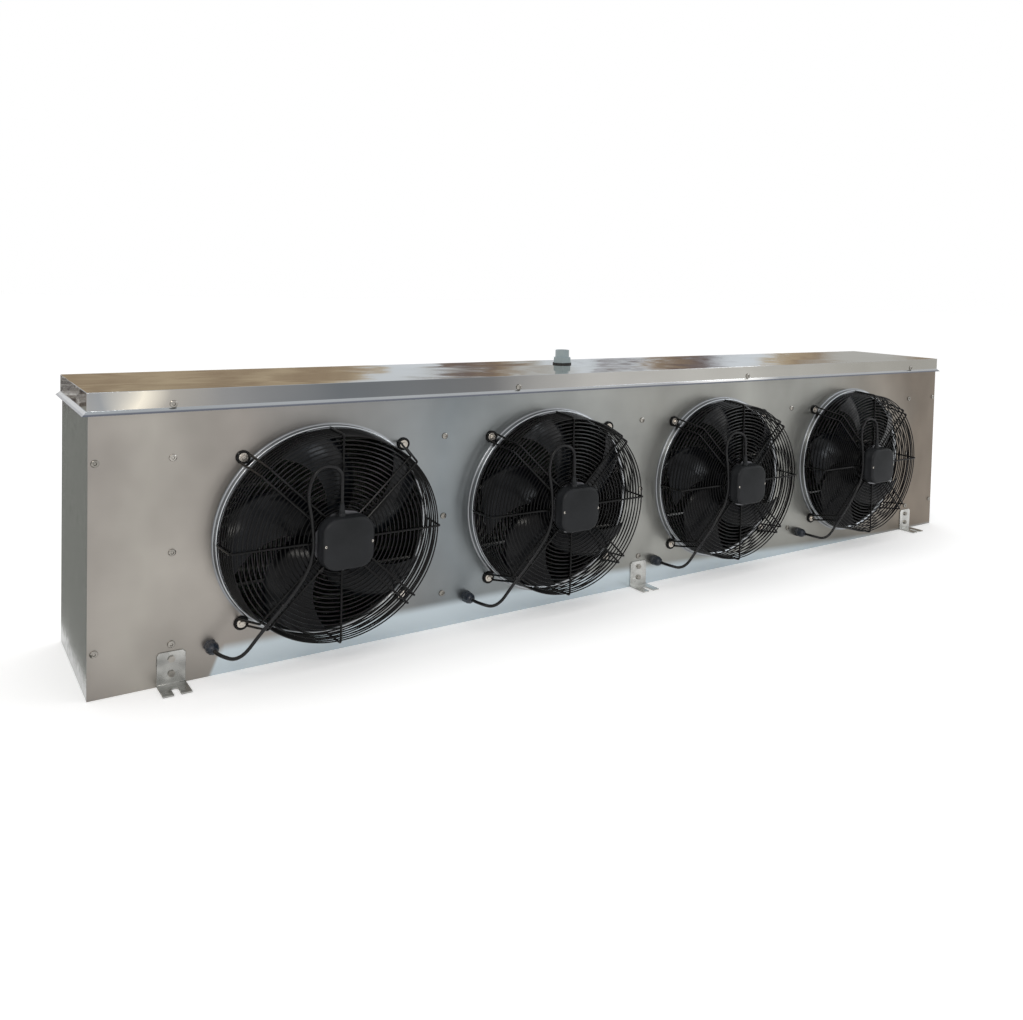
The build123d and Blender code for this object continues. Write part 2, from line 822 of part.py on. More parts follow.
def route_radii(route):
    """Largest even arcs: 0.45 of the shorter run over the tangent of half the turn."""
    radii = []
    for before, corner, after in zip(route, route[1:], route[2:]):
        run_in = corner - before
        run_out = after - corner
        turn = radians(run_in.get_angle(run_out))
        radii.append(0.45 * min(run_in.length, run_out.length) / tan(turn / 2))
    return radii


lead_radii = route_radii(lead_route)
print("lead radii", [round(radius, 1) for radius in lead_radii])
with BuildPart() as lead:
    with BuildLine() as lead_path:
        FilletPolyline(*lead_route, radius=lead_radii)
    with BuildSketch(Plane(origin=lead_route[0], z_dir=lead_route[1] - lead_route[0])):
        RegularPolygon(lead_radius, lead_sides)
    sweep(path=lead_path.line)
print("lead length", round(lead_path.wires()[0].length, 1), "volume", round(lead.part.volume, 1))

with BuildPart() as gland:
    with BuildSketch(Plane.XY):
        with Locations((gland_x, gland_drop)):
            RegularPolygon(gland_base_radius, 6)
    extrude(amount=gland_base_height)
    with BuildSketch(Plane.XY.offset(gland_base_height)):
        with Locations((gland_x, gland_drop)):
            RegularPolygon(gland_nut_radius, 8)
    extrude(amount=gland_length - gland_base_height, taper=gland_taper)
    with BuildSketch(Plane.XY):
        with Locations((gland_x, gland_drop)):
            RegularPolygon(gland_thread_radius, 6)
    extrude(amount=-sheet)

guard_pieces = fan_guard()
for number, fan_x in enumerate(fan_places, start=1):
    seat = fan_seat(fan_x).location
    save(seat * impeller.part, f"impeller_{number}")
    save(seat * motor.part, f"motor_{number}")
    save(seat * motor_cover.part, f"motor_cover_{number}")
    save(seat * lead.part, f"motor_lead_{number}")
    save(seat * gland.part, f"cable_gland_{number}")
    guard = Compound(label="guard", children=[seat * piece for piece in guard_pieces])
    save(guard, f"fan_guard_{number}")


# ------------------------------------------------------------------ brackets
def bracket(column_x, face_y, side):
    """L bracket: upright bolted to the casing, foot with a slot open at its outer edge."""
    upright = Plane(origin=(column_x, face_y, 0), x_dir=(-side, 0, 0), z_dir=(0, side, 0))
    with BuildPart() as angle:
        with BuildSketch(upright):
            with Locations((0, bracket_height / 2)):
                Rectangle(bracket_width, bracket_height)
        extrude(amount=bracket_thickness)
        top_corners = angle.edges().filter_by(Axis.Y).group_by(Axis.Z)[-1]
        chamfer(top_corners, bracket_corner)
        with BuildSketch():
            with Locations((column_x, face_y + side * bracket_foot / 2)):
                Rectangle(bracket_width, bracket_foot)
            with Locations((column_x, face_y + side * (bracket_foot - bracket_slot_depth / 2))):
                Rectangle(bracket_slot_width, bracket_slot_depth, mode=Mode.SUBTRACT)
            with Locations((column_x, face_y + side * (bracket_foot - bracket_slot_depth))):
                Circle(bracket_slot_width / 2, mode=Mode.SUBTRACT)
        extrude(amount=bracket_thickness)
    return angle.part


bracket_columns = column_places[::2]
front_brackets = [bracket(x, front_face, -1) for x in bracket_columns]
rear_brackets = [bracket(x, rear_face, 1) for x in bracket_columns]
save(Compound(label="front", children=front_brackets), "front_brackets")
save(Compound(label="rear", children=rear_brackets), "rear_brackets")


# ------------------------------------------------------------------ bolts and guard screws
def hex_head(x, z, seat_y, side):
    """Hexagon head standing on an upright face, its top turned outwards."""
    with BuildPart() as head:
        with BuildSketch(Plane(origin=(x, seat_y, z), x_dir=(-side, 0, 0), z_dir=(0, side, 0))):
            RegularPolygon(head_radius, 6)
        extrude(amount=head_height)
    return head.part


bolt_heads = []
for x in bracket_columns:
    for z in bracket_bolt_heights:
        bolt_heads.append(hex_head(x, z, front_face - bracket_thickness, -1))
        bolt_heads.append(hex_head(x, z, rear_face + bracket_thickness, 1))
save(Compound(label="bolts", children=bolt_heads), "bracket_bolts")

screw_heads = []
for fan_x in fan_places:
    for angle in eye_angles:
        x = fan_x + eye_circle_radius * cos(radians(angle))
        z = fan_height + eye_circle_radius * sin(radians(angle))
        screw_heads.append(hex_head(x, z, front_face - eye_wire, -1))
save(Compound(label="screws", children=screw_heads), "guard_screws")
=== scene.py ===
import math

import bmesh
import bpy
from mathutils import Matrix, Vector


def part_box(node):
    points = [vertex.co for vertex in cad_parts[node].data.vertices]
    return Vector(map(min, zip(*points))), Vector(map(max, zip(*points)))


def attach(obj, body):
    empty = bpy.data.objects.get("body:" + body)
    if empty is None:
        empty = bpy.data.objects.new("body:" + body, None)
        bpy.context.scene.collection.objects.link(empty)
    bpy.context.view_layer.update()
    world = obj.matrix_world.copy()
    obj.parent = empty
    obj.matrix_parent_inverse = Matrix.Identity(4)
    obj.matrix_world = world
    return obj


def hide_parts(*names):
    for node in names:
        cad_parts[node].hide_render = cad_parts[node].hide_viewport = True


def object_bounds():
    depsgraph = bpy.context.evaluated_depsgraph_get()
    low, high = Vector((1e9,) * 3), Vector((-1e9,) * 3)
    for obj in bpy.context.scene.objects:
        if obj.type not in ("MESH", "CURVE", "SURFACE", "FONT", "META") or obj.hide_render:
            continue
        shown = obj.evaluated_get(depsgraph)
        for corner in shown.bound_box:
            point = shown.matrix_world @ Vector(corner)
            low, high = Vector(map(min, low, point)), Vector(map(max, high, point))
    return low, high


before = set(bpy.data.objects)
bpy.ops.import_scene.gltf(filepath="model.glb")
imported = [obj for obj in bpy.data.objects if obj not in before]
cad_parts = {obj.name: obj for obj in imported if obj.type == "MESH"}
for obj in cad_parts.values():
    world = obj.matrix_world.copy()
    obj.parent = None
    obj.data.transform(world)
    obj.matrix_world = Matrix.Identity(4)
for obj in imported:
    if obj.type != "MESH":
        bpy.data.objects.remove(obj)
cad_low, cad_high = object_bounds()

FANS = (1, 2, 3, 4)
MM = 0.001


# ------------------------------------------------------------------ camera
# Turned about Z (yaw), tipped down (pitch) and tilted (roll), in radians.
CAMERA_PLACE = (-1.4944, -2.1480, 0.7810)
CAMERA_YAW = -0.6702
CAMERA_PITCH = 0.0390
CAMERA_ROLL = 0.0293

camera_data = bpy.data.cameras.new("camera")
camera = bpy.data.objects.new("camera", camera_data)
bpy.context.scene.collection.objects.link(camera)
camera_data.sensor_width = 36.0
camera_data.lens = 33.82
camera_data.shift_x = -0.150
camera_data.shift_y = -0.183
camera_data.clip_start = 0.01
camera_data.clip_end = 60.0
turn = (
    Matrix.Rotation(CAMERA_YAW, 4, "Z")
    @ Matrix.Rotation(math.pi / 2 - CAMERA_PITCH, 4, "X")
    @ Matrix.Rotation(CAMERA_ROLL, 4, "Z")
)
camera.matrix_world = Matrix.Translation(CAMERA_PLACE) @ turn
bpy.context.scene.camera = camera


# ------------------------------------------------------------------ materials
def new_material(name):
    material = bpy.data.materials.new(name)
    material.use_nodes = True
    nodes = material.node_tree.nodes
    return material, nodes, material.node_tree.links, nodes["Principled BSDF"]


def object_coords(nodes, links, scale):
    """Coordinates that stay on the object, stretched by a scale for each axis."""
    coords = nodes.new("ShaderNodeTexCoord")
    mapping = nodes.new("ShaderNodeMapping")
    mapping.inputs["Scale"].default_value = scale
    links.new(coords.outputs["Object"], mapping.inputs["Vector"])
    return mapping.outputs["Vector"]


def noise(nodes, links, scale, size, detail=3.0, roughness=0.5):
    texture = nodes.new("ShaderNodeTexNoise")
    texture.inputs["Scale"].default_value = size
    texture.inputs["Detail"].default_value = detail
    texture.inputs["Roughness"].default_value = roughness
    links.new(object_coords(nodes, links, scale), texture.inputs["Vector"])
    return texture.outputs["Fac"]


def ramp(nodes, links, fac, stops):
    """Colour ramp from (position, colour) pairs."""
    node = nodes.new("ShaderNodeValToRGB")
    elements = node.color_ramp.elements
    while len(elements) < len(stops):
        elements.new(0.5)
    for element, (position, colour) in zip(elements, stops):
        element.position = position
        element.color = (*colour, 1.0)
    links.new(fac, node.inputs["Fac"])
    return node.outputs["Color"]


def spread(nodes, links, fac, low, high):
    """A noise value mapped to a range."""
    node = nodes.new("ShaderNodeMapRange")
    node.inputs["From Min"].default_value = 0.3
    node.inputs["From Max"].default_value = 0.7
    node.inputs["To Min"].default_value = low
    node.inputs["To Max"].default_value = high
    links.new(fac, node.inputs["Value"])
    return node.outputs["Result"]


def bump(nodes, links, shader, height, strength, distance):
    node = nodes.new("ShaderNodeBump")
    node.inputs["Strength"].default_value = strength
    node.inputs["Distance"].default_value = distance
    links.new(height, node.inputs["Height"])
    links.new(node.outputs["Normal"], shader.inputs["Normal"])


def steel(name, tones, rough, wave, drift, foot=None, patch=2.2, cloud=0.06):
    """Rolled stainless sheet: tones along its length, soft clouds and waves, polish in faint rolling lines.
    On the casing, the pan, its wall and its hem, the tones along the length are painted reflections and
    highlights, and on the casing the strong clouds are painted reflection patches.

    foot = (tone, top, fade, rises) turns it to another tone below z = top, where rises are the stops along
    the length of how far that edge sinks. On the casing this light band is a painted reflection of the floor;
    on the hem the dark line is painted shade.
    """
    material, nodes, links, shader = new_material(name)
    shader.inputs["Metallic"].default_value = 1.0
    place = nodes.new("ShaderNodeSeparateXYZ")
    links.new(object_coords(nodes, links, (1.0, 1.0, 1.0)), place.inputs["Vector"])
    along = nodes.new("ShaderNodeMapRange")
    along.inputs["From Min"].default_value = cad_low.x
    along.inputs["From Max"].default_value = cad_high.x
    links.new(place.outputs["X"], along.inputs["Value"])
    patches = noise(nodes, links, (1.0, 1.0, 1.6), patch, 2.0)
    wander = nodes.new("ShaderNodeMath")
    wander.operation = "MULTIPLY_ADD"
    wander.inputs[1].default_value = drift
    links.new(patches, wander.inputs[0])
    links.new(along.outputs["Result"], wander.inputs[2])
    colour = ramp(nodes, links, wander.outputs["Value"], tones)
    clouded = noise(nodes, links, (1.0, 1.0, 0.7), patch * 2.2, 3.0)
    clouds = spread(nodes, links, clouded, 1 - cloud, 1 + cloud)
    shade = nodes.new("ShaderNodeVectorMath")
    shade.operation = "SCALE"
    links.new(colour, shade.inputs[0])
    links.new(clouds, shade.inputs["Scale"])
    colour = shade.outputs["Vector"]
    if foot is not None:
        tone, top, fade, rises = foot
        rise = ramp(nodes, links, along.outputs["Result"], [(u, (v, v, v)) for u, v in rises])
        sunk = nodes.new("ShaderNodeMath")
        sunk.operation = "MULTIPLY_ADD"
        sunk.inputs[1].default_value = top
        links.new(rise, sunk.inputs[0])
        links.new(place.outputs["Z"], sunk.inputs[2])
        low = nodes.new("ShaderNodeMapRange")
        low.interpolation_type = "SMOOTHSTEP"
        low.inputs["From Min"].default_value = top
        low.inputs["From Max"].default_value = top - fade
        links.new(sunk.outputs["Value"], low.inputs["Value"])
        blend = nodes.new("ShaderNodeMix")
        blend.data_type = "RGBA"
        links.new(low.outputs["Result"], blend.inputs["Factor"])
        links.new(colour, blend.inputs[6])
        blend.inputs[7].default_value = (*tone, 1.0)
        colour = blend.outputs[2]
    links.new(colour, shader.inputs["Base Color"])
    polish = noise(nodes, links, (1.0, 12.0, 12.0), 5.0, 4.0)
    links.new(spread(nodes, links, polish, *rough), shader.inputs["Roughness"])
    waves = noise(nodes, links, (1.0, 1.0, 1.3), 3.2, 1.5)
    bump(nodes, links, shader, waves, wave, 0.01)
    return material


def plain(name, dark, light, rough, bumps, size=220.0, metallic=0.0, specular=0.5):
    """Painted, moulded or cast surface: two tones, an uneven finish and a fine texture."""
    material, nodes, links, shader = new_material(name)
    shader.inputs["Metallic"].default_value = metallic
    shader.inputs["Specular IOR Level"].default_value = specular
    tone = noise(nodes, links, (1.0, 1.0, 1.0), 14.0, 4.0)
    links.new(ramp(nodes, links, tone, [(0.35, dark), (0.65, light)]), shader.inputs["Base Color"])
    finish = noise(nodes, links, (1.0, 1.0, 1.0), 35.0, 3.0)
    links.new(spread(nodes, links, finish, rough * 0.85, rough * 1.15), shader.inputs["Roughness"])
    skin = noise(nodes, links, (1.0, 1.0, 1.0), size, 2.0)
    bump(nodes, links, shader, skin, bumps, 0.0006)
    return material


# Painted reflections: bands of tone along the casing's length that stand in for what its polished panel
# mirrors.
casing_painted_reflections = [
    (0.06, (0.27, 0.25, 0.23)),
    (0.11, (0.34, 0.32, 0.29)),
    (0.18, (0.26, 0.24, 0.22)),
    (0.34, (0.20, 0.22, 0.23)),
    (0.56, (0.30, 0.30, 0.28)),
    (0.82, (0.28, 0.28, 0.26)),
    (1.02, (0.20, 0.17, 0.14)),
]
# Painted reflections along the pan's front wall, with a painted cream highlight near its left end.
wall_painted_reflections = [
    (0.055, (0.38, 0.35, 0.31)),
    (0.078, (0.28, 0.29, 0.30)),
    (0.094, (0.84, 0.78, 0.66)),
    (0.114, (0.36, 0.34, 0.31)),
    (0.16, (0.24, 0.24, 0.24)),
    (0.25, (0.13, 0.14, 0.15)),
    (0.39, (0.16, 0.16, 0.16)),
    (0.50, (0.40, 0.39, 0.37)),
    (0.64, (0.45, 0.44, 0.41)),
    (0.92, (0.33, 0.32, 0.29)),
]
# A painted highlight band along the hem, over tones that are painted reflections.
hem_painted_highlight_tones = [
    (0.10, (0.34, 0.36, 0.38)),
    (0.60, (0.42, 0.43, 0.44)),
    (0.655, (0.94, 0.94, 0.93)),
    (0.71, (0.94, 0.94, 0.93)),
    (0.75, (0.38, 0.39, 0.40)),
]
# The light band along the casing's foot is a painted reflection of the floor; these stops set how far its top
# edge sinks along the length.
floor_reflection_rises = [(0.085, 1.0), (0.095, 0.0), (0.45, 0.0), (0.90, 0.85)]
casing_floor_reflection = ((0.55, 0.62, 0.66), 0.062, 0.022, floor_reflection_rises)
# A painted dark line of shade along the hem's lower edge.
hem_painted_shade = ((0.13, 0.14, 0.17), 0.5225, 0.0025, [(0.0, 0.0), (1.0, 0.0)])
# Casing steel: painted reflection bands along its length, strong clouds as painted reflection patches, and a
# painted reflection of the floor along its foot.
casing_steel = steel("casing_steel", casing_painted_reflections, (0.28, 0.33), 0.16, 0.12, casing_floor_reflection, 2.2, 0.20)
end_tones = [(0.2, (0.22, 0.23, 0.22)), (0.8, (0.31, 0.32, 0.31))]
end_steel = steel("end_steel", end_tones, (0.12, 0.22), 0.12, 0.9)
# The pan's warm brownish tones are a painted reflection.
pan_painted_reflection_tones = [(0.2, (0.40, 0.36, 0.30)), (0.9, (0.50, 0.47, 0.42))]
pan_steel = steel("pan_steel", pan_painted_reflection_tones, (0.02, 0.05), 0.30, 0.6)
wall_steel = steel("wall_steel", wall_painted_reflections, (0.08, 0.18), 0.14, 0.12)
hem_steel = steel("hem_steel", hem_painted_highlight_tones, (0.10, 0.18), 0.05, 0.12, hem_painted_shade)
collar_tones = [(0.2, (0.40, 0.43, 0.46)), (0.9, (0.60, 0.62, 0.64))]
collar_steel = steel("collar_steel", collar_tones, (0.28, 0.32), 0.08, 0.6)
# A darker copy of the collar steel for the inner mouth: painted shade and a painted reflection of the dark
# fan.
mouth_painted_shade_tones = [(0.2, (0.15, 0.16, 0.17)), (0.9, (0.32, 0.33, 0.34))]
collar_painted_shade = steel("collar_painted_shade", mouth_painted_shade_tones, (0.28, 0.32), 0.08, 0.6)
bracket_tones = [(0.35, (0.22, 0.22, 0.21)), (0.75, (0.52, 0.52, 0.50))]
bracket_steel = steel("bracket_steel", bracket_tones, (0.20, 0.34), 0.05, 0.9, None, 16.0, 0.2)
galvanised = plain("galvanised", (0.42, 0.43, 0.44), (0.56, 0.57, 0.58), 0.42, 0.15, 90.0, 1.0)
# Fin metal kept darker than bare aluminium: painted shade in the depth of the coil.
fin_metal_painted_shade = plain("fin_metal_painted_shade", (0.40, 0.40, 0.39), (0.52, 0.52, 0.50), 0.38, 0.12, 160.0, 1.0)
copper = plain("copper", (0.60, 0.30, 0.19), (0.76, 0.42, 0.28), 0.30, 0.10, 120.0, 1.0)
heater_metal = plain("heater_metal", (0.20, 0.20, 0.19), (0.32, 0.31, 0.30), 0.38, 0.10, 120.0, 1.0)
# The faint blue tint of the blade black is a painted sheen.
fan_black = plain("fan_black", (0.002, 0.002, 0.003), (0.003, 0.004, 0.006), 0.20, 0.08, 120.0, 0.0, 0.24)
guard_black = plain("guard_black", (0.002, 0.002, 0.002), (0.004, 0.004, 0.004), 0.20, 0.10, 420.0, 0.0, 0.16)
cover_black = plain("cover_black", (0.010, 0.011, 0.012), (0.018, 0.019, 0.021), 0.40, 0.30, 520.0, 0.0, 0.16)
lead_black = plain("lead_black", (0.004, 0.004, 0.004), (0.008, 0.008, 0.009), 0.26, 0.15, 300.0, 0.0, 0.24)
gland_navy = plain("gland_navy", (0.010, 0.014, 0.022), (0.020, 0.027, 0.040), 0.34, 0.15, 300.0)
drain_grey = plain("drain_grey", (0.27, 0.33, 0.35), (0.36, 0.42, 0.44), 0.36, 0.15, 200.0)
rubber_black = plain("rubber_black", (0.012, 0.012, 0.012), (0.022, 0.022, 0.022), 0.62, 0.25, 240.0)
box_grey = plain("box_grey", (0.20, 0.21, 0.22), (0.27, 0.28, 0.29), 0.46, 0.20, 240.0)
zinc = plain("zinc", (0.38, 0.35, 0.31), (0.56, 0.52, 0.47), 0.22, 0.12, 300.0, 1.0)
screw_steel = plain("screw_steel", (0.20, 0.19, 0.17), (0.40, 0.38, 0.35), 0.20, 0.10, 300.0, 1.0)
motor_metal = plain("motor_metal", (0.56, 0.57, 0.58), (0.74, 0.75, 0.76), 0.30, 0.25, 260.0, 1.0)
motor_dark = plain("motor_dark", (0.12, 0.12, 0.13), (0.22, 0.22, 0.23), 0.34, 0.20, 260.0, 1.0)


def finish(material, *nodes):
    """Give a CAD node's object a material in place of the record's plain one."""
    for node in nodes:
        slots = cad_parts[node].data.materials
        slots.clear()
        slots.append(material)


# ------------------------------------------------------------------ mesh helpers
def fan_space(place):
    """Matrix from a fan's own axes (right, up, outwards from the panel) to the row's."""
    return Matrix(
        (
            (1, 0, 0, place.x),
            (0, 0, -1, place.y),
            (0, 1, 0, place.z),
            (0, 0, 0, 1),
        )
    )


def add_object(name, mesh, material, space=None):
    piece = bpy.data.objects.new(name, mesh)
    bpy.context.scene.collection.objects.link(piece)
    if material is not None:
        mesh.materials.append(material)
    if space is not None:
        piece.matrix_world = space
    return piece


def finish_mesh(bm, name, sharp_angle=35.0):
    """Turn a bmesh into a mesh, smooth but for its sharp edges."""
    bmesh.ops.recalc_face_normals(bm, faces=bm.faces)
    for face in bm.faces:
        face.smooth = True
    limit = math.radians(sharp_angle)
    for edge in bm.edges:
        if len(edge.link_faces) == 2 and edge.calc_face_angle(0.0) > limit:
            edge.smooth = False
    mesh = bpy.data.meshes.new(name)
    bm.to_mesh(mesh)
    bm.free()
    return mesh


def skin_loops(bm, loops, closed, caps=True):
    """Join rows of vertices, each a closed loop, into a tube."""
    pairs = list(zip(loops, loops[1:]))
    if closed:
        pairs.append((loops[-1], loops[0]))
    for row, following in pairs:
        count = len(row)
        for i in range(count):
            j = (i + 1) % count
            bm.faces.new((row[i], row[j], following[j], following[i]))
    if caps and not closed:
        bm.faces.new(list(reversed(loops[0])))
        bm.faces.new(loops[-1])


def wire(bm, points, radius, sides=8, closed=False):
    """Round wire along points."""
    points = [Vector(p) for p in points]
    count = len(points)
    loops = []
    normal = None
    for i, point in enumerate(points):
        before = points[i - 1] if i or closed else point
        after = points[(i + 1) % count] if i < count - 1 or closed else point
        heading = (after - before).normalized()
        if normal is None:
            side = Vector((0, 0, 1)) if abs(heading.z) < 0.9 else Vector((1, 0, 0))
            normal = heading.cross(side).normalized()
        normal = (normal - heading * normal.dot(heading)).normalized()
        other = heading.cross(normal)
        row = []
        for k in range(sides):
            angle = 2 * math.pi * k / sides
            row.append(bm.verts.new(point + (normal * math.cos(angle) + other * math.sin(angle)) * radius))
        loops.append(row)
    skin_loops(bm, loops, closed)


def hoop(bm, radius, height, wire_radius, steps=96, sides=8):
    """Ring of round wire about the fan's axis."""
    loops = []
    for i in range(steps):
        turn_angle = 2 * math.pi * i / steps
        out = Vector((math.cos(turn_angle), math.sin(turn_angle), 0))
        row = []
        for k in range(sides):
            angle = 2 * math.pi * k / sides
            place = out * (radius + wire_radius * math.cos(angle))
            row.append(bm.verts.new(place + Vector((0, 0, height + wire_radius * math.sin(angle)))))
        loops.append(row)
    skin_loops(bm, loops, True)


def lathe(bm, profile, steps=64, centre=(0, 0, 0), closed=False):
    """Turn a profile of (radius, height) pairs about the vertical through a centre."""
    centre = Vector(centre)
    rows = []
    for radius, height in profile:
        if radius < 1e-7:
            rows.append([bm.verts.new(centre + Vector((0, 0, height)))])
            continue
        row = []
        for i in range(steps):
            angle = 2 * math.pi * i / steps
            row.append(
                bm.verts.new(centre + Vector((radius * math.cos(angle), radius * math.sin(angle), height)))
            )
        rows.append(row)
    pairs = list(zip(rows, rows[1:]))
    if closed:
        pairs.append((rows[-1], rows[0]))
    for row, following in pairs:
        for i in range(steps):
            j = (i + 1) % steps
            if len(row) == 1:
                bm.faces.new((row[0], following[j], following[i]))
            elif len(following) == 1:
                bm.faces.new((row[i], row[j], following[0]))
            else:
                bm.faces.new((row[i], row[j], following[j], following[i]))
    return rows


def bent(points, radius, steps=6):
    """Points of a line of straight runs whose corners are rounded."""
    points = [Vector(p) for p in points]
    line = [points[0]]
    for before, corner, after in zip(points, points[1:], points[2:]):
        back = (before - corner).normalized()
        on = (after - corner).normalized()
        half = (math.pi - back.angle(on)) / 2
        reach = radius * math.tan(half)
        start = corner + back * reach
        end = corner + on * reach
        for i in range(steps + 1):
            t = i / steps
            line.append(start * (1 - t) ** 2 + corner * 2 * t * (1 - t) + end * t * t)
    line.append(points[-1])
    return line


def turned(bm, first_vertex, turn_matrix):
    """Move the vertices made since first_vertex."""
    bm.verts.ensure_lookup_table()
    for vertex in bm.verts[first_vertex:]:
        vertex.co = turn_matrix @ vertex.co


# ------------------------------------------------------------------ places
panel_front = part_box("front_brackets")[1].y
fan_places = {}
for number in FANS:
    low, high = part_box(f"motor_{number}")
    fan_places[number] = Vector(((low.x + high.x) / 2, panel_front, (low.z + high.z) / 2))
casing_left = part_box("left_end_cover")[0].x
casing_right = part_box("right_end_cover")[1].x
casing_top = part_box("left_end_cover")[1].z
panel_sheet = 1.5 * MM

# ------------------------------------------------------------------ front panel and its collars
nozzle_radius = 205 * MM
rim_radius = 216 * MM
nozzle_reach = 14 * MM
lip_round = 1.6 * MM
root_round = 3.0 * MM
gland_place = Vector((-220, -198, 0)) * MM


def panel_mesh():
    """Flat sheet with its fan holes, as one filled outline."""
    outline = bpy.data.curves.new("panel_outline", "CURVE")
    outline.dimensions = "2D"
    outline.fill_mode = "BOTH"
    outline.extrude = panel_sheet / 2
    edge = outline.splines.new("POLY")
    edge.points.add(3)
    corners = [
        (casing_left, 0),
        (casing_right, 0),
        (casing_right, casing_top),
        (casing_left, casing_top),
    ]
    for point, (x, z) in zip(edge.points, corners):
        point.co = (x, z, 0, 1)
    edge.use_cyclic_u = True
    steps = 128
    for place in fan_places.values():
        hole = outline.splines.new("POLY")
        hole.points.add(steps - 1)
        for i, point in enumerate(hole.points):
            angle = 2 * math.pi * i / steps
            radius = rim_radius + root_round * 0.9
            point.co = (place.x + radius * math.cos(angle), place.z + radius * math.sin(angle), 0, 1)
        hole.use_cyclic_u = True
    holder = bpy.data.objects.new("panel_outline", outline)
    mesh = bpy.data.meshes.new_from_object(holder)
    bpy.data.objects.remove(holder)
    mesh.transform(
        Matrix(((1, 0, 0, 0), (0, 0, -1, panel_front + panel_sheet / 2), (0, 1, 0, 0), (0, 0, 0, 1)))
    )
    return mesh


def collar_mesh():
    """Spun fan collar: fillet at the panel, outer wall, rolled lip and inner wall."""
    bm = bmesh.new()
    profile = [(rim_radius + root_round * 1.6, 0.0002), (rim_radius + root_round * 0.9, 0.0002)]
    for i in range(7):
        angle = math.pi / 2 * i / 6
        profile.append(
            (
                rim_radius + root_round * (1 - math.sin(angle)),
                0.0002 + root_round * (1 - math.cos(angle)),
            )
        )
    for i in range(9):
        angle = math.pi / 2 * i / 8
        profile.append(
            (
                rim_radius - lip_round * (1 - math.cos(angle)),
                nozzle_reach - lip_round * (1 - math.sin(angle)),
            )
        )
    mouth = rim_radius - lip_round - nozzle_radius
    for i in range(9):
        angle = math.pi / 2 * i / 8
        profile.append(
            (
                nozzle_radius + mouth * (1 - math.sin(angle)),
                nozzle_reach - mouth * (1 - math.cos(angle)),
            )
        )
    profile.append((nozzle_radius, -panel_sheet))
    lathe(bm, profile, 144)
    return finish_mesh(bm, "collar")


front_sheet = add_object("front_sheet", panel_mesh(), casing_steel)
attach(front_sheet, "casing")
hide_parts("front_panel")
collar = collar_mesh()
collar.materials.append(collar_steel)
collar.materials.append(collar_painted_shade)
# The inner mouth below the rolled lip takes the darker copy: painted shade and a painted reflection of the
# dark fan.
for polygon in collar.polygons:
    if polygon.center.z < nozzle_reach - 2.2 * MM:
        polygon.material_index = 1
for number, place in fan_places.items():
    ring_piece = add_object(f"fan_collar_{number}", collar, None, fan_space(place))
    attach(ring_piece, "casing")

# ------------------------------------------------------------------ fan guard
guard_front = 97.5 * MM
guard_radius = 211.5 * MM
guard_back = 17 * MM
guard_flare = 4.5 * MM
spoke_radius = 2.25 * MM
ring_radius = 1.5 * MM
face_rings = 17
side_rings = 6
inner_ring = 66 * MM
pair_gap = 20 * MM
eye_circle = 232 * MM
eye_ring = 11.2 * MM
eye_wire = 2.7 * MM


def guard_mesh():
    bm = bmesh.new()
    spoke_line = guard_front - spoke_radius
    ring_line = spoke_line - spoke_radius - ring_radius
    rim = guard_radius - 2 * spoke_radius - ring_radius
    for i in range(face_rings):
        radius = inner_ring + (rim - inner_ring) * i / (face_rings - 1)
        hoop(bm, radius, ring_line, ring_radius, 120, 8)
    for i in range(1, side_rings + 1):
        down = i / side_rings
        height = ring_line + (guard_back + ring_radius - ring_line) * down
        thick = ring_radius * (1.3 if i == side_rings else 1.0)
        hoop(bm, rim + guard_flare * down, height, thick, 120, 8)
    bend = guard_radius - spoke_radius
    for quarter in range(4):
        start = len(bm.verts)
        foot = bend + guard_flare
        line = bent(
            [(50 * MM, 0, spoke_line), (bend, 0, spoke_line), (foot, 0, guard_back)], 7 * MM
        )
        wire(bm, line, spoke_radius, 10)
        turned(bm, start, Matrix.Rotation(quarter * math.pi / 2, 4, "Z"))
    for quarter in range(4):
        start = len(bm.verts)
        for side in (-1, 1):
            line = bent(
                [
                    (50 * MM, side * pair_gap / 2, spoke_line),
                    (bend, side * pair_gap / 2, spoke_line),
                    (eye_circle - eye_ring * 0.2, side * eye_ring, eye_wire * 1.6),
                    (eye_circle + eye_ring * 0.2, side * eye_ring * 0.96, eye_wire),
                ],
                6 * MM,
            )
            wire(bm, line, spoke_radius, 10)
        eye_start = len(bm.verts)
        hoop(bm, eye_ring, eye_wire, eye_wire, 40, 10)
        turned(bm, eye_start, Matrix.Translation((eye_circle, 0, 0)))
        turned(bm, start, Matrix.Rotation(math.pi / 4 + quarter * math.pi / 2, 4, "Z"))
    plate = [
        (48.5 * MM, ring_line + 1 * MM),
        (49.5 * MM, ring_line + 2 * MM),
        (60 * MM, ring_line + 2 * MM),
        (61 * MM, ring_line + 1 * MM),
        (61 * MM, ring_line - 1 * MM),
        (48.5 * MM, ring_line - 1 * MM),
    ]
    lathe(bm, plate, 72, closed=True)
    return finish_mesh(bm, "guard")


guard = guard_mesh()
guard.materials.append(guard_black)
for number, place in fan_places.items():
    piece = add_object(f"wire_guard_{number}", guard, None, fan_space(place))
    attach(piece, "casing")
    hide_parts(f"fan_guard_{number}")

# ------------------------------------------------------------------ impeller
tip_radius = 199.5 * MM
root_radius = 52 * MM
blade_plane = 24 * MM
rotor_radius = 55 * MM
rotor_back = -6 * MM
rotor_front = 82 * MM


def between(start, end, t):
    return start + (end - start) * t


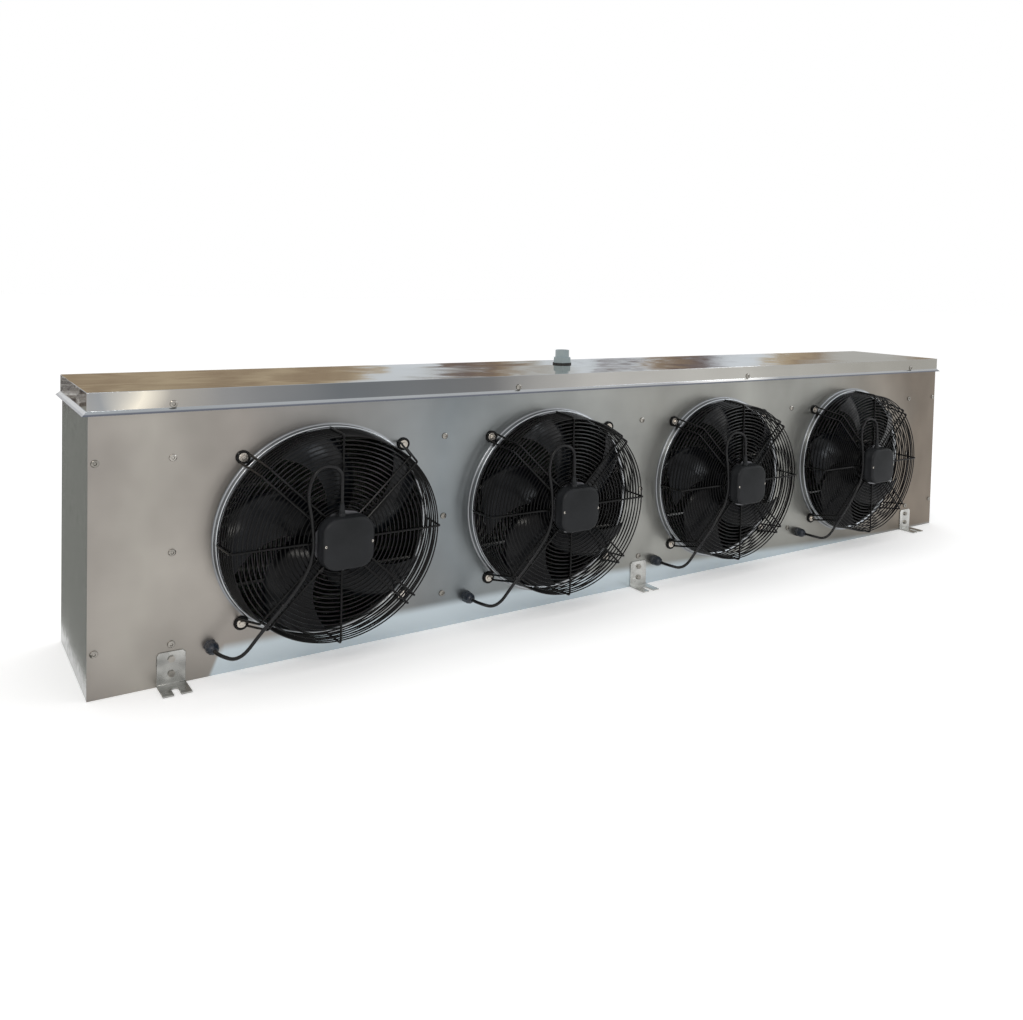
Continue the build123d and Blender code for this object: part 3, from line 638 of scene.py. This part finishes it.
def blade_rows(sheet_side):
    """Rows of points over one face of a blade, from hub to tip."""
    rows = []
    radial_steps = 16
    chord_steps = 14
    for i in range(radial_steps + 1):
        t = i / radial_steps
        radius = between(root_radius, tip_radius, t)
        chord = between(72, 142, t ** 0.8) * MM
        angle = math.radians(between(38, 20, t ** 0.7))
        sweep = math.radians(34 * t ** 1.4)
        row = []
        for k in range(chord_steps + 1):
            s = k / chord_steps - 0.5
            nose = 1 - 0.10 * (2 * abs(s)) ** 4 * t
            camber = 0.055 * chord * (1 - 4 * s * s)
            around = sweep + s * chord * nose * math.cos(angle) / radius
            depth = blade_plane + s * chord * math.sin(angle) + camber + sheet_side * 0.9 * MM
            trim = 1 - 0.02 * t * (2 * s) ** 2
            row.append(
                Vector((radius * trim * math.cos(around), radius * trim * math.sin(around), depth))
            )
        rows.append(row)
    return rows


def impeller_mesh():
    bm = bmesh.new()
    for number in range(5):
        start = len(bm.verts)
        grids = []
        for sheet_side in (-1, 1):
            grids.append([[bm.verts.new(p) for p in row] for row in blade_rows(sheet_side)])
        back, front = grids
        rows, columns = len(back), len(back[0])
        for i in range(rows - 1):
            for k in range(columns - 1):
                bm.faces.new((back[i][k], back[i + 1][k], back[i + 1][k + 1], back[i][k + 1]))
                bm.faces.new((front[i][k], front[i][k + 1], front[i + 1][k + 1], front[i + 1][k]))
        for i in range(rows - 1):
            bm.faces.new((back[i][0], front[i][0], front[i + 1][0], back[i + 1][0]))
            bm.faces.new((back[i][-1], back[i + 1][-1], front[i + 1][-1], front[i][-1]))
        for k in range(columns - 1):
            bm.faces.new((back[0][k], back[0][k + 1], front[0][k + 1], front[0][k]))
            bm.faces.new((back[-1][k], front[-1][k], front[-1][k + 1], back[-1][k + 1]))
        turned(bm, start, Matrix.Rotation(number * 2 * math.pi / 5, 4, "Z"))
    rotor = [
        (0, rotor_back),
        (rotor_radius - 4 * MM, rotor_back),
        (rotor_radius - 1 * MM, rotor_back + 1 * MM),
        (rotor_radius, rotor_back + 4 * MM),
        (rotor_radius, blade_plane - 30 * MM + 6 * MM),
        (rotor_radius + 1.5 * MM, blade_plane - 22 * MM),
        (rotor_radius + 1.5 * MM, blade_plane + 24 * MM),
        (rotor_radius, blade_plane + 28 * MM),
        (rotor_radius, rotor_front - 3 * MM),
        (rotor_radius - 1 * MM, rotor_front - 0.8 * MM),
        (rotor_radius - 3 * MM, rotor_front),
        (46 * MM, rotor_front),
        (46 * MM, rotor_front - 10 * MM),
        (20 * MM, rotor_front - 12 * MM),
        (0, rotor_front - 12 * MM),
    ]
    lathe(bm, rotor, 72)
    return finish_mesh(bm, "impeller")


impeller = impeller_mesh()
impeller.materials.append(fan_black)
for number, place in fan_places.items():
    piece = add_object(f"fan_blades_{number}", impeller, None, fan_space(place))
    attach(piece, f"fan_wheel_{number}")
    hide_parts(f"impeller_{number}")

# ------------------------------------------------------------------ motor flange and terminal cover
cover_half = 52 * MM
cover_corner = 30 * MM
cover_seat = 103 * MM
cover_depth = 34 * MM
screw_offset = 45.3 * MM
boot_x = -9 * MM


def rounded_square(half, corner, height, steps=10):
    """Points round a square with rounded corners."""
    points = []
    inner = half - corner
    for quarter in range(4):
        centre_angle = math.pi / 2 * quarter
        cx = inner * (1 if quarter in (0, 3) else -1)
        cy = inner * (1 if quarter in (0, 1) else -1)
        for i in range(steps + 1):
            angle = centre_angle + math.pi / 2 * i / steps
            points.append((cx + corner * math.cos(angle), cy + corner * math.sin(angle), height))
    return points


def cover_mesh():
    bm = bmesh.new()
    top = cover_seat + cover_depth
    stations = [
        (cover_half, cover_corner, cover_seat),
        (cover_half, cover_corner, cover_seat + 8 * MM),
        (cover_half - 0.8 * MM, cover_corner - 0.8 * MM, cover_seat + 9 * MM),
        (cover_half - 1.2 * MM, cover_corner - 1.0 * MM, top - 6.5 * MM),
        (cover_half - 1.5 * MM, cover_corner - 1.2 * MM, top - 5.0 * MM),
        (cover_half - 2.6 * MM, cover_corner - 2.0 * MM, top - 3.2 * MM),
        (cover_half - 4.6 * MM, cover_corner - 3.5 * MM, top - 1.2 * MM),
        (cover_half - 6.0 * MM, cover_corner - 4.6 * MM, top - 0.4 * MM),
        (cover_half - 8.0 * MM, cover_corner - 6.0 * MM, top),
    ]
    loops = [[bm.verts.new(p) for p in rounded_square(*station)] for station in stations]
    skin_loops(bm, loops, False)
    boot = [
        (7.4 * MM, -1 * MM),
        (7.4 * MM, 5 * MM),
        (6.2 * MM, 6 * MM),
        (6.6 * MM, 9 * MM),
        (5.6 * MM, 10 * MM),
        (6.0 * MM, 14 * MM),
        (5.2 * MM, 15 * MM),
        (5.4 * MM, 19 * MM),
        (4.6 * MM, 20 * MM),
        (4.4 * MM, 26 * MM),
        (3.6 * MM, 26.5 * MM),
        (0, 26.5 * MM),
    ]
    start = len(bm.verts)
    lathe(bm, boot, 24)
    boot_place = Matrix.Translation((boot_x, cover_half, cover_seat + 12 * MM))
    turned(bm, start, boot_place @ Matrix.Rotation(-math.pi / 2, 4, "X"))
    return finish_mesh(bm, "cover", 50)


def flange_mesh():
    """Die-cast mounting flange: a disc with scallops and raised bolt bosses."""
    bm = bmesh.new()
    bottom = guard_front - 0.5 * MM
    loops = []
    for height, grow in ((bottom, 0), (bottom + 4.6 * MM, 0), (bottom + 5.6 * MM, -1.2 * MM)):
        row = []
        for i in range(144):
            angle = 2 * math.pi * i / 144
            scallop = 1.6 * MM * math.cos(12 * angle)
            radius = 57.4 * MM + scallop + grow
            row.append(bm.verts.new((radius * math.cos(angle), radius * math.sin(angle), height)))
        loops.append(row)
    skin_loops(bm, loops, False)
    for i in range(4):
        angle = math.pi / 4 + i * math.pi / 2
        lathe(
            bm,
            [(4.2 * MM, bottom - 4 * MM), (4.2 * MM, bottom), (0, bottom)],
            16,
            (53 * MM * math.cos(angle), 53 * MM * math.sin(angle), 0),
        )
    return finish_mesh(bm, "flange", 40)


def pan_head(bm, place, radius, height, sides=24):
    """Round screw head with a round recess, standing along the fan's axis."""
    x, y, z = place
    profile = [
        (radius, z),
        (radius, z + height * 0.35),
        (radius * 0.92, z + height * 0.7),
        (radius * 0.7, z + height * 0.95),
        (radius * 0.42, z + height),
        (radius * 0.3, z + height * 0.5),
        (0, z + height * 0.45),
    ]
    lathe(bm, profile, sides, (x, y, 0))


def hex_bolt(bm, place, radius, height, washer=0.0):
    """Hexagon head with chamfered corners, on a washer if it has one."""
    x, y, z = place
    if washer:
        lathe(
            bm,
            [(washer, z), (washer, z + 1.2 * MM), (washer - 0.5 * MM, z + 1.6 * MM), (0, z + 1.6 * MM)],
            32,
            (x, y, 0),
        )
        z += 1.6 * MM
    loops = []
    for rise, shrink in ((0, 1.0), (height * 0.8, 1.0), (height, 0.86)):
        row = []
        for i in range(6):
            angle = math.pi / 3 * i
            row.append(
                bm.verts.new(
                    (x + radius * shrink * math.cos(angle), y + radius * shrink * math.sin(angle), z + rise)
                )
            )
        loops.append(row)
    skin_loops(bm, loops, False)


cover = cover_mesh()
cover.materials.append(cover_black)
flange = flange_mesh()
flange.materials.append(motor_metal)
bm = bmesh.new()
for side in (-1, 1):
    pan_head(bm, (side * screw_offset, 0, cover_seat + cover_depth - 1.6 * MM), 3.0 * MM, 1.6 * MM)
cover_screw = finish_mesh(bm, "cover_screws")
cover_screw.materials.append(zinc)
bm = bmesh.new()
for quarter in range(4):
    angle = math.pi / 4 + quarter * math.pi / 2
    place = (eye_circle * math.cos(angle), eye_circle * math.sin(angle), 1.4 * eye_wire)
    hex_bolt(bm, place, 4.6 * MM, 3.0 * MM, 8.8 * MM)
guard_screw = finish_mesh(bm, "guard_screws")
guard_screw.materials.append(zinc)
for number, place in fan_places.items():
    space = fan_space(place)
    piece = add_object(f"terminal_cover_{number}", cover, None, space)
    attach(piece, "casing")
    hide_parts(f"motor_cover_{number}")
    piece = add_object(f"motor_flange_{number}", flange, None, space)
    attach(piece, "casing")
    piece = add_object(f"cover_screws_{number}", cover_screw, None, space)
    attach(piece, "casing")
    piece = add_object(f"eye_screws_{number}", guard_screw, None, space)
    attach(piece, "casing")
    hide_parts("guard_screws")

# ------------------------------------------------------------------ motor leads, glands and ties
lead_radius = 3.5 * MM
lead_start = Vector((-9, 66, 115))
gland_exit = Vector((-220, -198, 34))
tied_from = Vector((-98, -96, 102))
tied_to = Vector((-152, -152, 101.6))
lead_route = [
    lead_start,
    lead_start + Vector((0, 34, 0)),
    Vector((-6, 146, 108)),
    Vector((-52, 154, 106)),
    Vector((-75, 104, 107)),
    Vector((-62, 40, 108.5)),
    Vector((-60, -32, 108)),
    tied_from,
    tied_to,
    Vector((-190, -206, 92)),
    gland_exit + Vector((0, 0, 24)),
    gland_exit,
]
# The loop's top moves this much, right and up in millimetres, on each fan.
loop_shift = {1: (0, 0), 2: (0, -3), 3: (2, -12), 4: (2, -10)}


def lead_curve(name, shift):
    """The lead's spline; shift moves the loop's top, right and up."""
    curve = bpy.data.curves.new(name, "CURVE")
    curve.dimensions = "3D"
    curve.bevel_depth = lead_radius
    curve.bevel_resolution = 4
    curve.resolution_u = 10
    curve.use_fill_caps = True
    spline = curve.splines.new("NURBS")
    spline.points.add(len(lead_route) - 1)
    for i, (point, place) in enumerate(zip(spline.points, lead_route)):
        if i in (2, 3):
            place = place + Vector((shift[0] * (i - 2), shift[1], 0))
        point.co = (*(place * MM), 1)
    spline.order_u = 3
    spline.use_endpoint_u = True
    return curve


def gland_mesh():
    """Cable gland: hexagon base, fluted dome nut and a rubber sleeve."""
    bm = bmesh.new()
    x, y = gland_place.x, gland_place.y
    gland_sides = 72
    gland_flutes = 12
    hex_bolt(bm, (x, y, 0.0002), 13 * MM, 9 * MM)
    loops = []
    stations = [
        (9 * MM, 11.4 * MM, 0.0),
        (10 * MM, 12.0 * MM, 0.5 * MM),
        (20 * MM, 11.6 * MM, 0.5 * MM),
        (25 * MM, 10.2 * MM, 0.3 * MM),
        (28.5 * MM, 7.6 * MM, 0.1 * MM),
        (30 * MM, 5.6 * MM, 0.0),
        (34 * MM, 4.8 * MM, 0.0),
        (34.5 * MM, 3.4 * MM, 0.0),
    ]
    for height, radius, flute in stations:
        row = []
        for i in range(gland_sides):
            angle = 2 * math.pi * i / gland_sides
            ridged = radius + flute * math.cos(gland_flutes * angle)
            row.append(bm.verts.new((x + ridged * math.cos(angle), y + ridged * math.sin(angle), height)))
        loops.append(row)
    skin_loops(bm, loops, False)
    return finish_mesh(bm, "gland", 40)


def tie_mesh():
    """Cable ties that hold the lead to the spoke pair."""
    bm = bmesh.new()
    tie_sides = 24
    for fraction in (0.28, 0.86):
        middle = tied_from.lerp(tied_to, fraction) * MM
        along = Vector((-1, -1, 0)).normalized()
        across = Vector((1, -1, 0)).normalized()
        up = Vector((0, 0, 1))
        centre = middle - up * 3.0 * MM
        loop = []
        for i in range(tie_sides):
            angle = 2 * math.pi * i / tie_sides
            loop.append(centre + across * 6.2 * MM * math.cos(angle) + up * 7.0 * MM * math.sin(angle))
        rows = []
        for point in loop:
            out = (point - centre).normalized()
            half_width = along * 1.3 * MM
            rows.append(
                [
                    bm.verts.new(point - half_width),
                    bm.verts.new(point - half_width + out * 0.7 * MM),
                    bm.verts.new(point + half_width + out * 0.7 * MM),
                    bm.verts.new(point + half_width),
                ]
            )
        skin_loops(bm, rows, True)
    return finish_mesh(bm, "ties", 40)


gland = gland_mesh()
gland.materials.append(gland_navy)
tie = tie_mesh()
tie.materials.append(lead_black)
for number, place in fan_places.items():
    space = fan_space(place)
    curve = lead_curve(f"lead_{number}", loop_shift[number])
    piece = add_object(f"lead_{number}", curve, lead_black, space)
    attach(piece, "casing")
    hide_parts(f"motor_lead_{number}")
    piece = add_object(f"gland_{number}", gland, None, space)
    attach(piece, "casing")
    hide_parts(f"cable_gland_{number}")
    piece = add_object(f"cable_ties_{number}", tie, None, space)
    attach(piece, "casing")


# ------------------------------------------------------------------ sheet-metal pieces with rounded folds
def folded(node, name, material, width=0.6 * MM, segments=2):
    """The CAD piece's shape with its edges rounded like folded sheet."""
    bm = bmesh.new()
    bm.from_mesh(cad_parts[node].data)
    bmesh.ops.remove_doubles(bm, verts=bm.verts, dist=1e-6)
    bmesh.ops.dissolve_limit(bm, angle_limit=math.radians(1), verts=bm.verts, edges=bm.edges)
    sharp = [e for e in bm.edges if len(e.link_faces) == 2 and e.calc_face_angle(0.0) > math.radians(30)]
    rounded = bmesh.ops.bevel(
        bm, geom=sharp, offset=width, segments=segments, affect="EDGES", profile=0.5, clamp_overlap=True
    )
    folds = set(rounded["faces"])
    bmesh.ops.recalc_face_normals(bm, faces=bm.faces)
    for face in bm.faces:
        face.smooth = face in folds
    mesh = bpy.data.meshes.new(name)
    bm.to_mesh(mesh)
    bm.free()
    piece = add_object(name, mesh, material)
    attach(piece, "casing")
    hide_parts(node)
    return piece


pan = folded("drain_pan", "pan_shell", pan_steel)
pan.data.materials.append(wall_steel)
pan.data.materials.append(hem_steel)
pan_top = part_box("drain_pan")[1].z
# Slot 1 gives the front and back walls their painted reflections; slot 2 gives the hem and the fold faces the
# hem's painted highlight band and painted shade.
for polygon in pan.data.polygons:
    if polygon.center.z < pan_top - 33 * MM:
        polygon.material_index = 2
    elif abs(polygon.normal.z) < 0.3 and abs(polygon.normal.x) < 0.5:
        polygon.material_index = 1
    elif 0.3 <= abs(polygon.normal.z) < 0.95:
        polygon.material_index = 2
folded("left_end_cover", "left_end_shell", end_steel)
folded("right_end_cover", "right_end_shell", end_steel)
folded("front_brackets", "front_feet", bracket_steel)
folded("rear_brackets", "rear_feet", bracket_steel)
finish(casing_steel, "ceiling_panel", "rear_rail")
finish(galvanised, "tube_sheets", "inner_drip_tray")
finish(copper, "left_return_bends", "right_return_bends", "suction_header", "liquid_distributor")
finish(heater_metal, "defrost_heaters")
finish(box_grey, "terminal_box", "terminal_box_lid")
finish(drain_grey, "drain_outlet", "drain_nut")
finish(rubber_black, "drain_gasket")
finish(screw_steel, "bracket_bolts")
for number in FANS:
    finish(motor_dark, f"motor_{number}")

# ------------------------------------------------------------------ coil fins
fin_pitch = 5.0 * MM
fin_sheet = 0.35 * MM
for number in FANS:
    low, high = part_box(f"coil_block_{number}")
    bm = bmesh.new()
    count = int((high.x - low.x - 4 * MM) / fin_pitch)
    for i in range(count + 1):
        x = low.x + 2 * MM + i * fin_pitch
        corners = [(low.y, low.z), (high.y, low.z), (high.y, high.z), (low.y, high.z)]
        row_a = [bm.verts.new((x, y, z)) for y, z in corners]
        row_b = [bm.verts.new((x + fin_sheet, y, z)) for y, z in corners]
        skin_loops(bm, [row_a, row_b], False)
    rows = 4
    columns = 11
    for row in range(rows):
        for column in range(columns):
            y = low.y + (high.y - low.y) * (row + 0.5) / rows
            z = low.z + (high.z - low.z) * (column + (0.25 if row % 2 else 0.75)) / columns
            wire(bm, [(low.x, y, z), (high.x, y, z)], 6.4 * MM, 10)
    fins = add_object(f"coil_fins_{number}", finish_mesh(bm, f"fins_{number}"), fin_metal_painted_shade)
    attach(fins, "casing")
    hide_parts(f"coil_block_{number}")

# ------------------------------------------------------------------ screws of the casing
bm = bmesh.new()
column_xs = [i * 0.55 for i in (-2, -1, 0, 1, 2)]
front_screws = [(x, z, 0.0) for x in column_xs for z in (0.077, 0.252, 0.4315)]
front_screws += [
    (x, z, 0.0) for x in (casing_left + 11 * MM, casing_right - 11 * MM) for z in (0.085, 0.4315)
]
pan_proud = panel_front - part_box("drain_pan")[0].y - 8 * MM
front_screws += [(x * 0.7333, 0.533, pan_proud) for x in (-1.5, -0.5, 0.5, 1.5)]
for x, z, proud in front_screws:
    pan_head(bm, (x, z, proud), 7.0 * MM, 3.4 * MM)
screws = finish_mesh(bm, "front_screws")
space = Matrix(((1, 0, 0, 0), (0, 0, -1, panel_front), (0, 1, 0, 0), (0, 0, 0, 1)))
piece = add_object("casing_screws", screws, screw_steel, space)
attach(piece, "casing")

# ------------------------------------------------------------------ drain threads
outlet_low, outlet_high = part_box("drain_outlet")
outlet_x = (outlet_low.x + outlet_high.x) / 2
outlet_y = (outlet_low.y + outlet_high.y) / 2
nut_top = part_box("drain_nut")[1].z
bm = bmesh.new()
profile = []
thread_pitch = 2.0 * MM
z = nut_top
thread_end = outlet_high.z - 18.5 * MM
while z + thread_pitch < thread_end:
    profile += [(19.0 * MM, z), (19.9 * MM, z + thread_pitch / 2)]
    z += thread_pitch
profile += [(19.0 * MM, z), (18.4 * MM, z)]
lathe(bm, profile, 64, (outlet_x, outlet_y, 0))
piece = add_object("drain_thread", finish_mesh(bm, "drain_thread", 60), drain_grey)
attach(piece, "casing")

# ------------------------------------------------------------------ floor, light and world
def seen_rays(nodes, links):
    """1 for the rays that show the background: the camera's, and those off metal and through glass."""
    path = nodes.new("ShaderNodeLightPath")
    value = path.outputs["Is Camera Ray"]
    for output in ("Is Glossy Ray", "Is Transmission Ray"):
        either = nodes.new("ShaderNodeMath")
        either.operation = "MAXIMUM"
        links.new(value, either.inputs[0])
        links.new(path.outputs[output], either.inputs[1])
        value = either.outputs["Value"]
    return value


floor_pale, nodes, links, shader = new_material("floor_pale")
shader.inputs["Base Color"].default_value = (0.87, 0.87, 0.87, 1.0)
shader.inputs["Roughness"].default_value = 0.9
shader.inputs["Specular IOR Level"].default_value = 0.1
shader.inputs["Emission Color"].default_value = (1.0, 1.0, 1.0, 1.0)
lift = nodes.new("ShaderNodeMath")
lift.operation = "MULTIPLY"
lift.inputs[1].default_value = 0.28
links.new(seen_rays(nodes, links), lift.inputs[0])
links.new(lift.outputs["Value"], shader.inputs["Emission Strength"])
bm = bmesh.new()
bmesh.ops.create_grid(bm, x_segments=1, y_segments=1, size=30.0)
floor = add_object("floor", finish_mesh(bm, "floor"), floor_pale)
floor.location.z = -0.0005

world = bpy.data.worlds.new("world")
bpy.context.scene.world = world
world.use_nodes = True
world_nodes = world.node_tree.nodes
world_links = world.node_tree.links
background = world_nodes["Background"]
background.inputs["Color"].default_value = (1.0, 1.0, 1.0, 1.0)
level = world_nodes.new("ShaderNodeMapRange")
level.inputs["To Min"].default_value = 0.84
level.inputs["To Max"].default_value = 1.0
world_links.new(seen_rays(world_nodes, world_links), level.inputs["Value"])
world_links.new(level.outputs["Result"], background.inputs["Strength"])


def area_light(name, place, aim, size, energy, colour, mirrored=True):
    data = bpy.data.lights.new(name, "AREA")
    data.shape = "RECTANGLE"
    data.size, data.size_y = size
    data.energy = energy
    data.color = colour
    light = bpy.data.objects.new(name, data)
    bpy.context.scene.collection.objects.link(light)
    light.location = place
    heading = Vector(aim) - Vector(place)
    light.rotation_euler = heading.to_track_quat("-Z", "Y").to_euler()
    light.visible_camera = False
    light.visible_glossy = mirrored


area_light("key", (-3.2, -3.0, 3.0), (-0.4, 0, 0.2), (2.2, 0.3), 36, (1.0, 0.96, 0.90))
area_light("fill", (3.4, -3.2, 2.6), (0.4, 0, 0.2), (2.0, 0.6), 22, (0.88, 0.94, 1.0))
area_light("top", (0.0, 0.6, 3.6), (0, 0, 0.3), (3.6, 1.4), 20, (1.0, 1.0, 1.0), False)


def card_material(name, tones, size, stretch, drift):
    """Glowing card: bands of tones along X, broken up by stretched noise."""
    material = bpy.data.materials.new(name)
    material.use_nodes = True
    nodes, links = material.node_tree.nodes, material.node_tree.links
    nodes.clear()
    output = nodes.new("ShaderNodeOutputMaterial")
    glow = nodes.new("ShaderNodeEmission")
    along = nodes.new("ShaderNodeSeparateXYZ")
    links.new(object_coords(nodes, links, (1.0, 1.0, 1.0)), along.inputs["Vector"])
    wander = nodes.new("ShaderNodeMath")
    wander.operation = "ADD"
    links.new(along.outputs["X"], wander.inputs[0])
    links.new(spread(nodes, links, noise(nodes, links, stretch, size, 3.0), *drift), wander.inputs[1])
    links.new(ramp(nodes, links, wander.outputs["Value"], tones), glow.inputs["Color"])
    links.new(glow.outputs["Emission"], output.inputs["Surface"])
    return material


def card(name, corners, material):
    """Studio card that only polished metal shows."""
    bm = bmesh.new()
    bm.faces.new([bm.verts.new(corner) for corner in corners])
    piece = add_object(name, finish_mesh(bm, name), material)
    piece.visible_camera = False
    piece.visible_diffuse = False
    piece.visible_shadow = False
    return piece


gold, brown, dark, window, grey = (
    (0.48, 0.40, 0.28),
    (0.30, 0.23, 0.16),
    (0.14, 0.11, 0.11),
    (0.66, 0.71, 0.76),
    (0.46, 0.46, 0.44),
)
back_tones = [
    (0.14, gold), (0.18, brown), (0.22, gold), (0.27, brown), (0.31, gold), (0.34, brown), (0.37, gold),
    (0.385, window), (0.44, window), (0.455, grey), (0.475, dark), (0.52, brown), (0.55, grey),
    (0.58, window), (0.62, window), (0.64, dark), (0.67, window), (0.70, brown), (0.76, dark),
    (0.80, window), (0.85, window), (0.88, gold), (0.92, brown), (0.98, grey),
]
upright = [(0, 0, 0), (1, 0, 0), (1, 0, 1), (0, 0, 1)]
lying = [(0, 0, 0), (1, 0, 0), (1, 1, 0), (0, 1, 0)]
back_card = card(
    "back_card",
    upright,
    card_material("back_card", back_tones, 9.0, (1.6, 1.0, 7.0), (0.02, 0.11)),
)
back_card.matrix_world = Matrix.Translation((-1.6, 5.0, 0.45)) @ Matrix.Diagonal((9.0, 1.0, 2.4, 1.0))
far_card = card(
    "far_card",
    upright,
    card_material("far_card", [(0.2, grey), (0.7, brown), (1.0, grey)], 6.0, (1.0, 1.0, 5.0), (0.0, 0.2)),
)
far_card.matrix_world = Matrix.Translation((7.4, 5.0, 0.45)) @ Matrix.Diagonal((1.6, 1.0, 2.4, 1.0))
left_tones = [(0.2, (0.14, 0.145, 0.135)), (1.0, (0.27, 0.275, 0.255))]
left_card = card(
    "left_card",
    lying,
    card_material("left_card", left_tones, 4.0, (1.0, 1.0, 1.0), (0.1, 0.3)),
)
left_card.matrix_world = Matrix.Translation((-6.0, -0.6, 0.002)) @ Matrix.Diagonal((4.749, 5.5, 1.0, 1.0))
zebra = [
    (0.50, (0.06, 0.05, 0.05)),
    (0.66, (0.18, 0.16, 0.14)),
    (0.72, (0.75, 0.75, 0.74)),
    (0.78, (0.10, 0.09, 0.09)),
    (0.90, (0.20, 0.19, 0.18)),
    (0.94, (0.60, 0.60, 0.58)),
    (0.98, (0.08, 0.07, 0.07)),
]
side_card = card(
    "side_card",
    upright,
    card_material("side_card", zebra, 36.0, (1.0, 1.0, 0.14), (-0.3, 0.3)),
)
side_card.matrix_world = Matrix.Translation((-2.2, 2.5, 0.2)) @ Matrix.Diagonal((0.9, 1.0, 0.22, 1.0))

bpy.context.scene.view_settings.view_transform = "Standard"
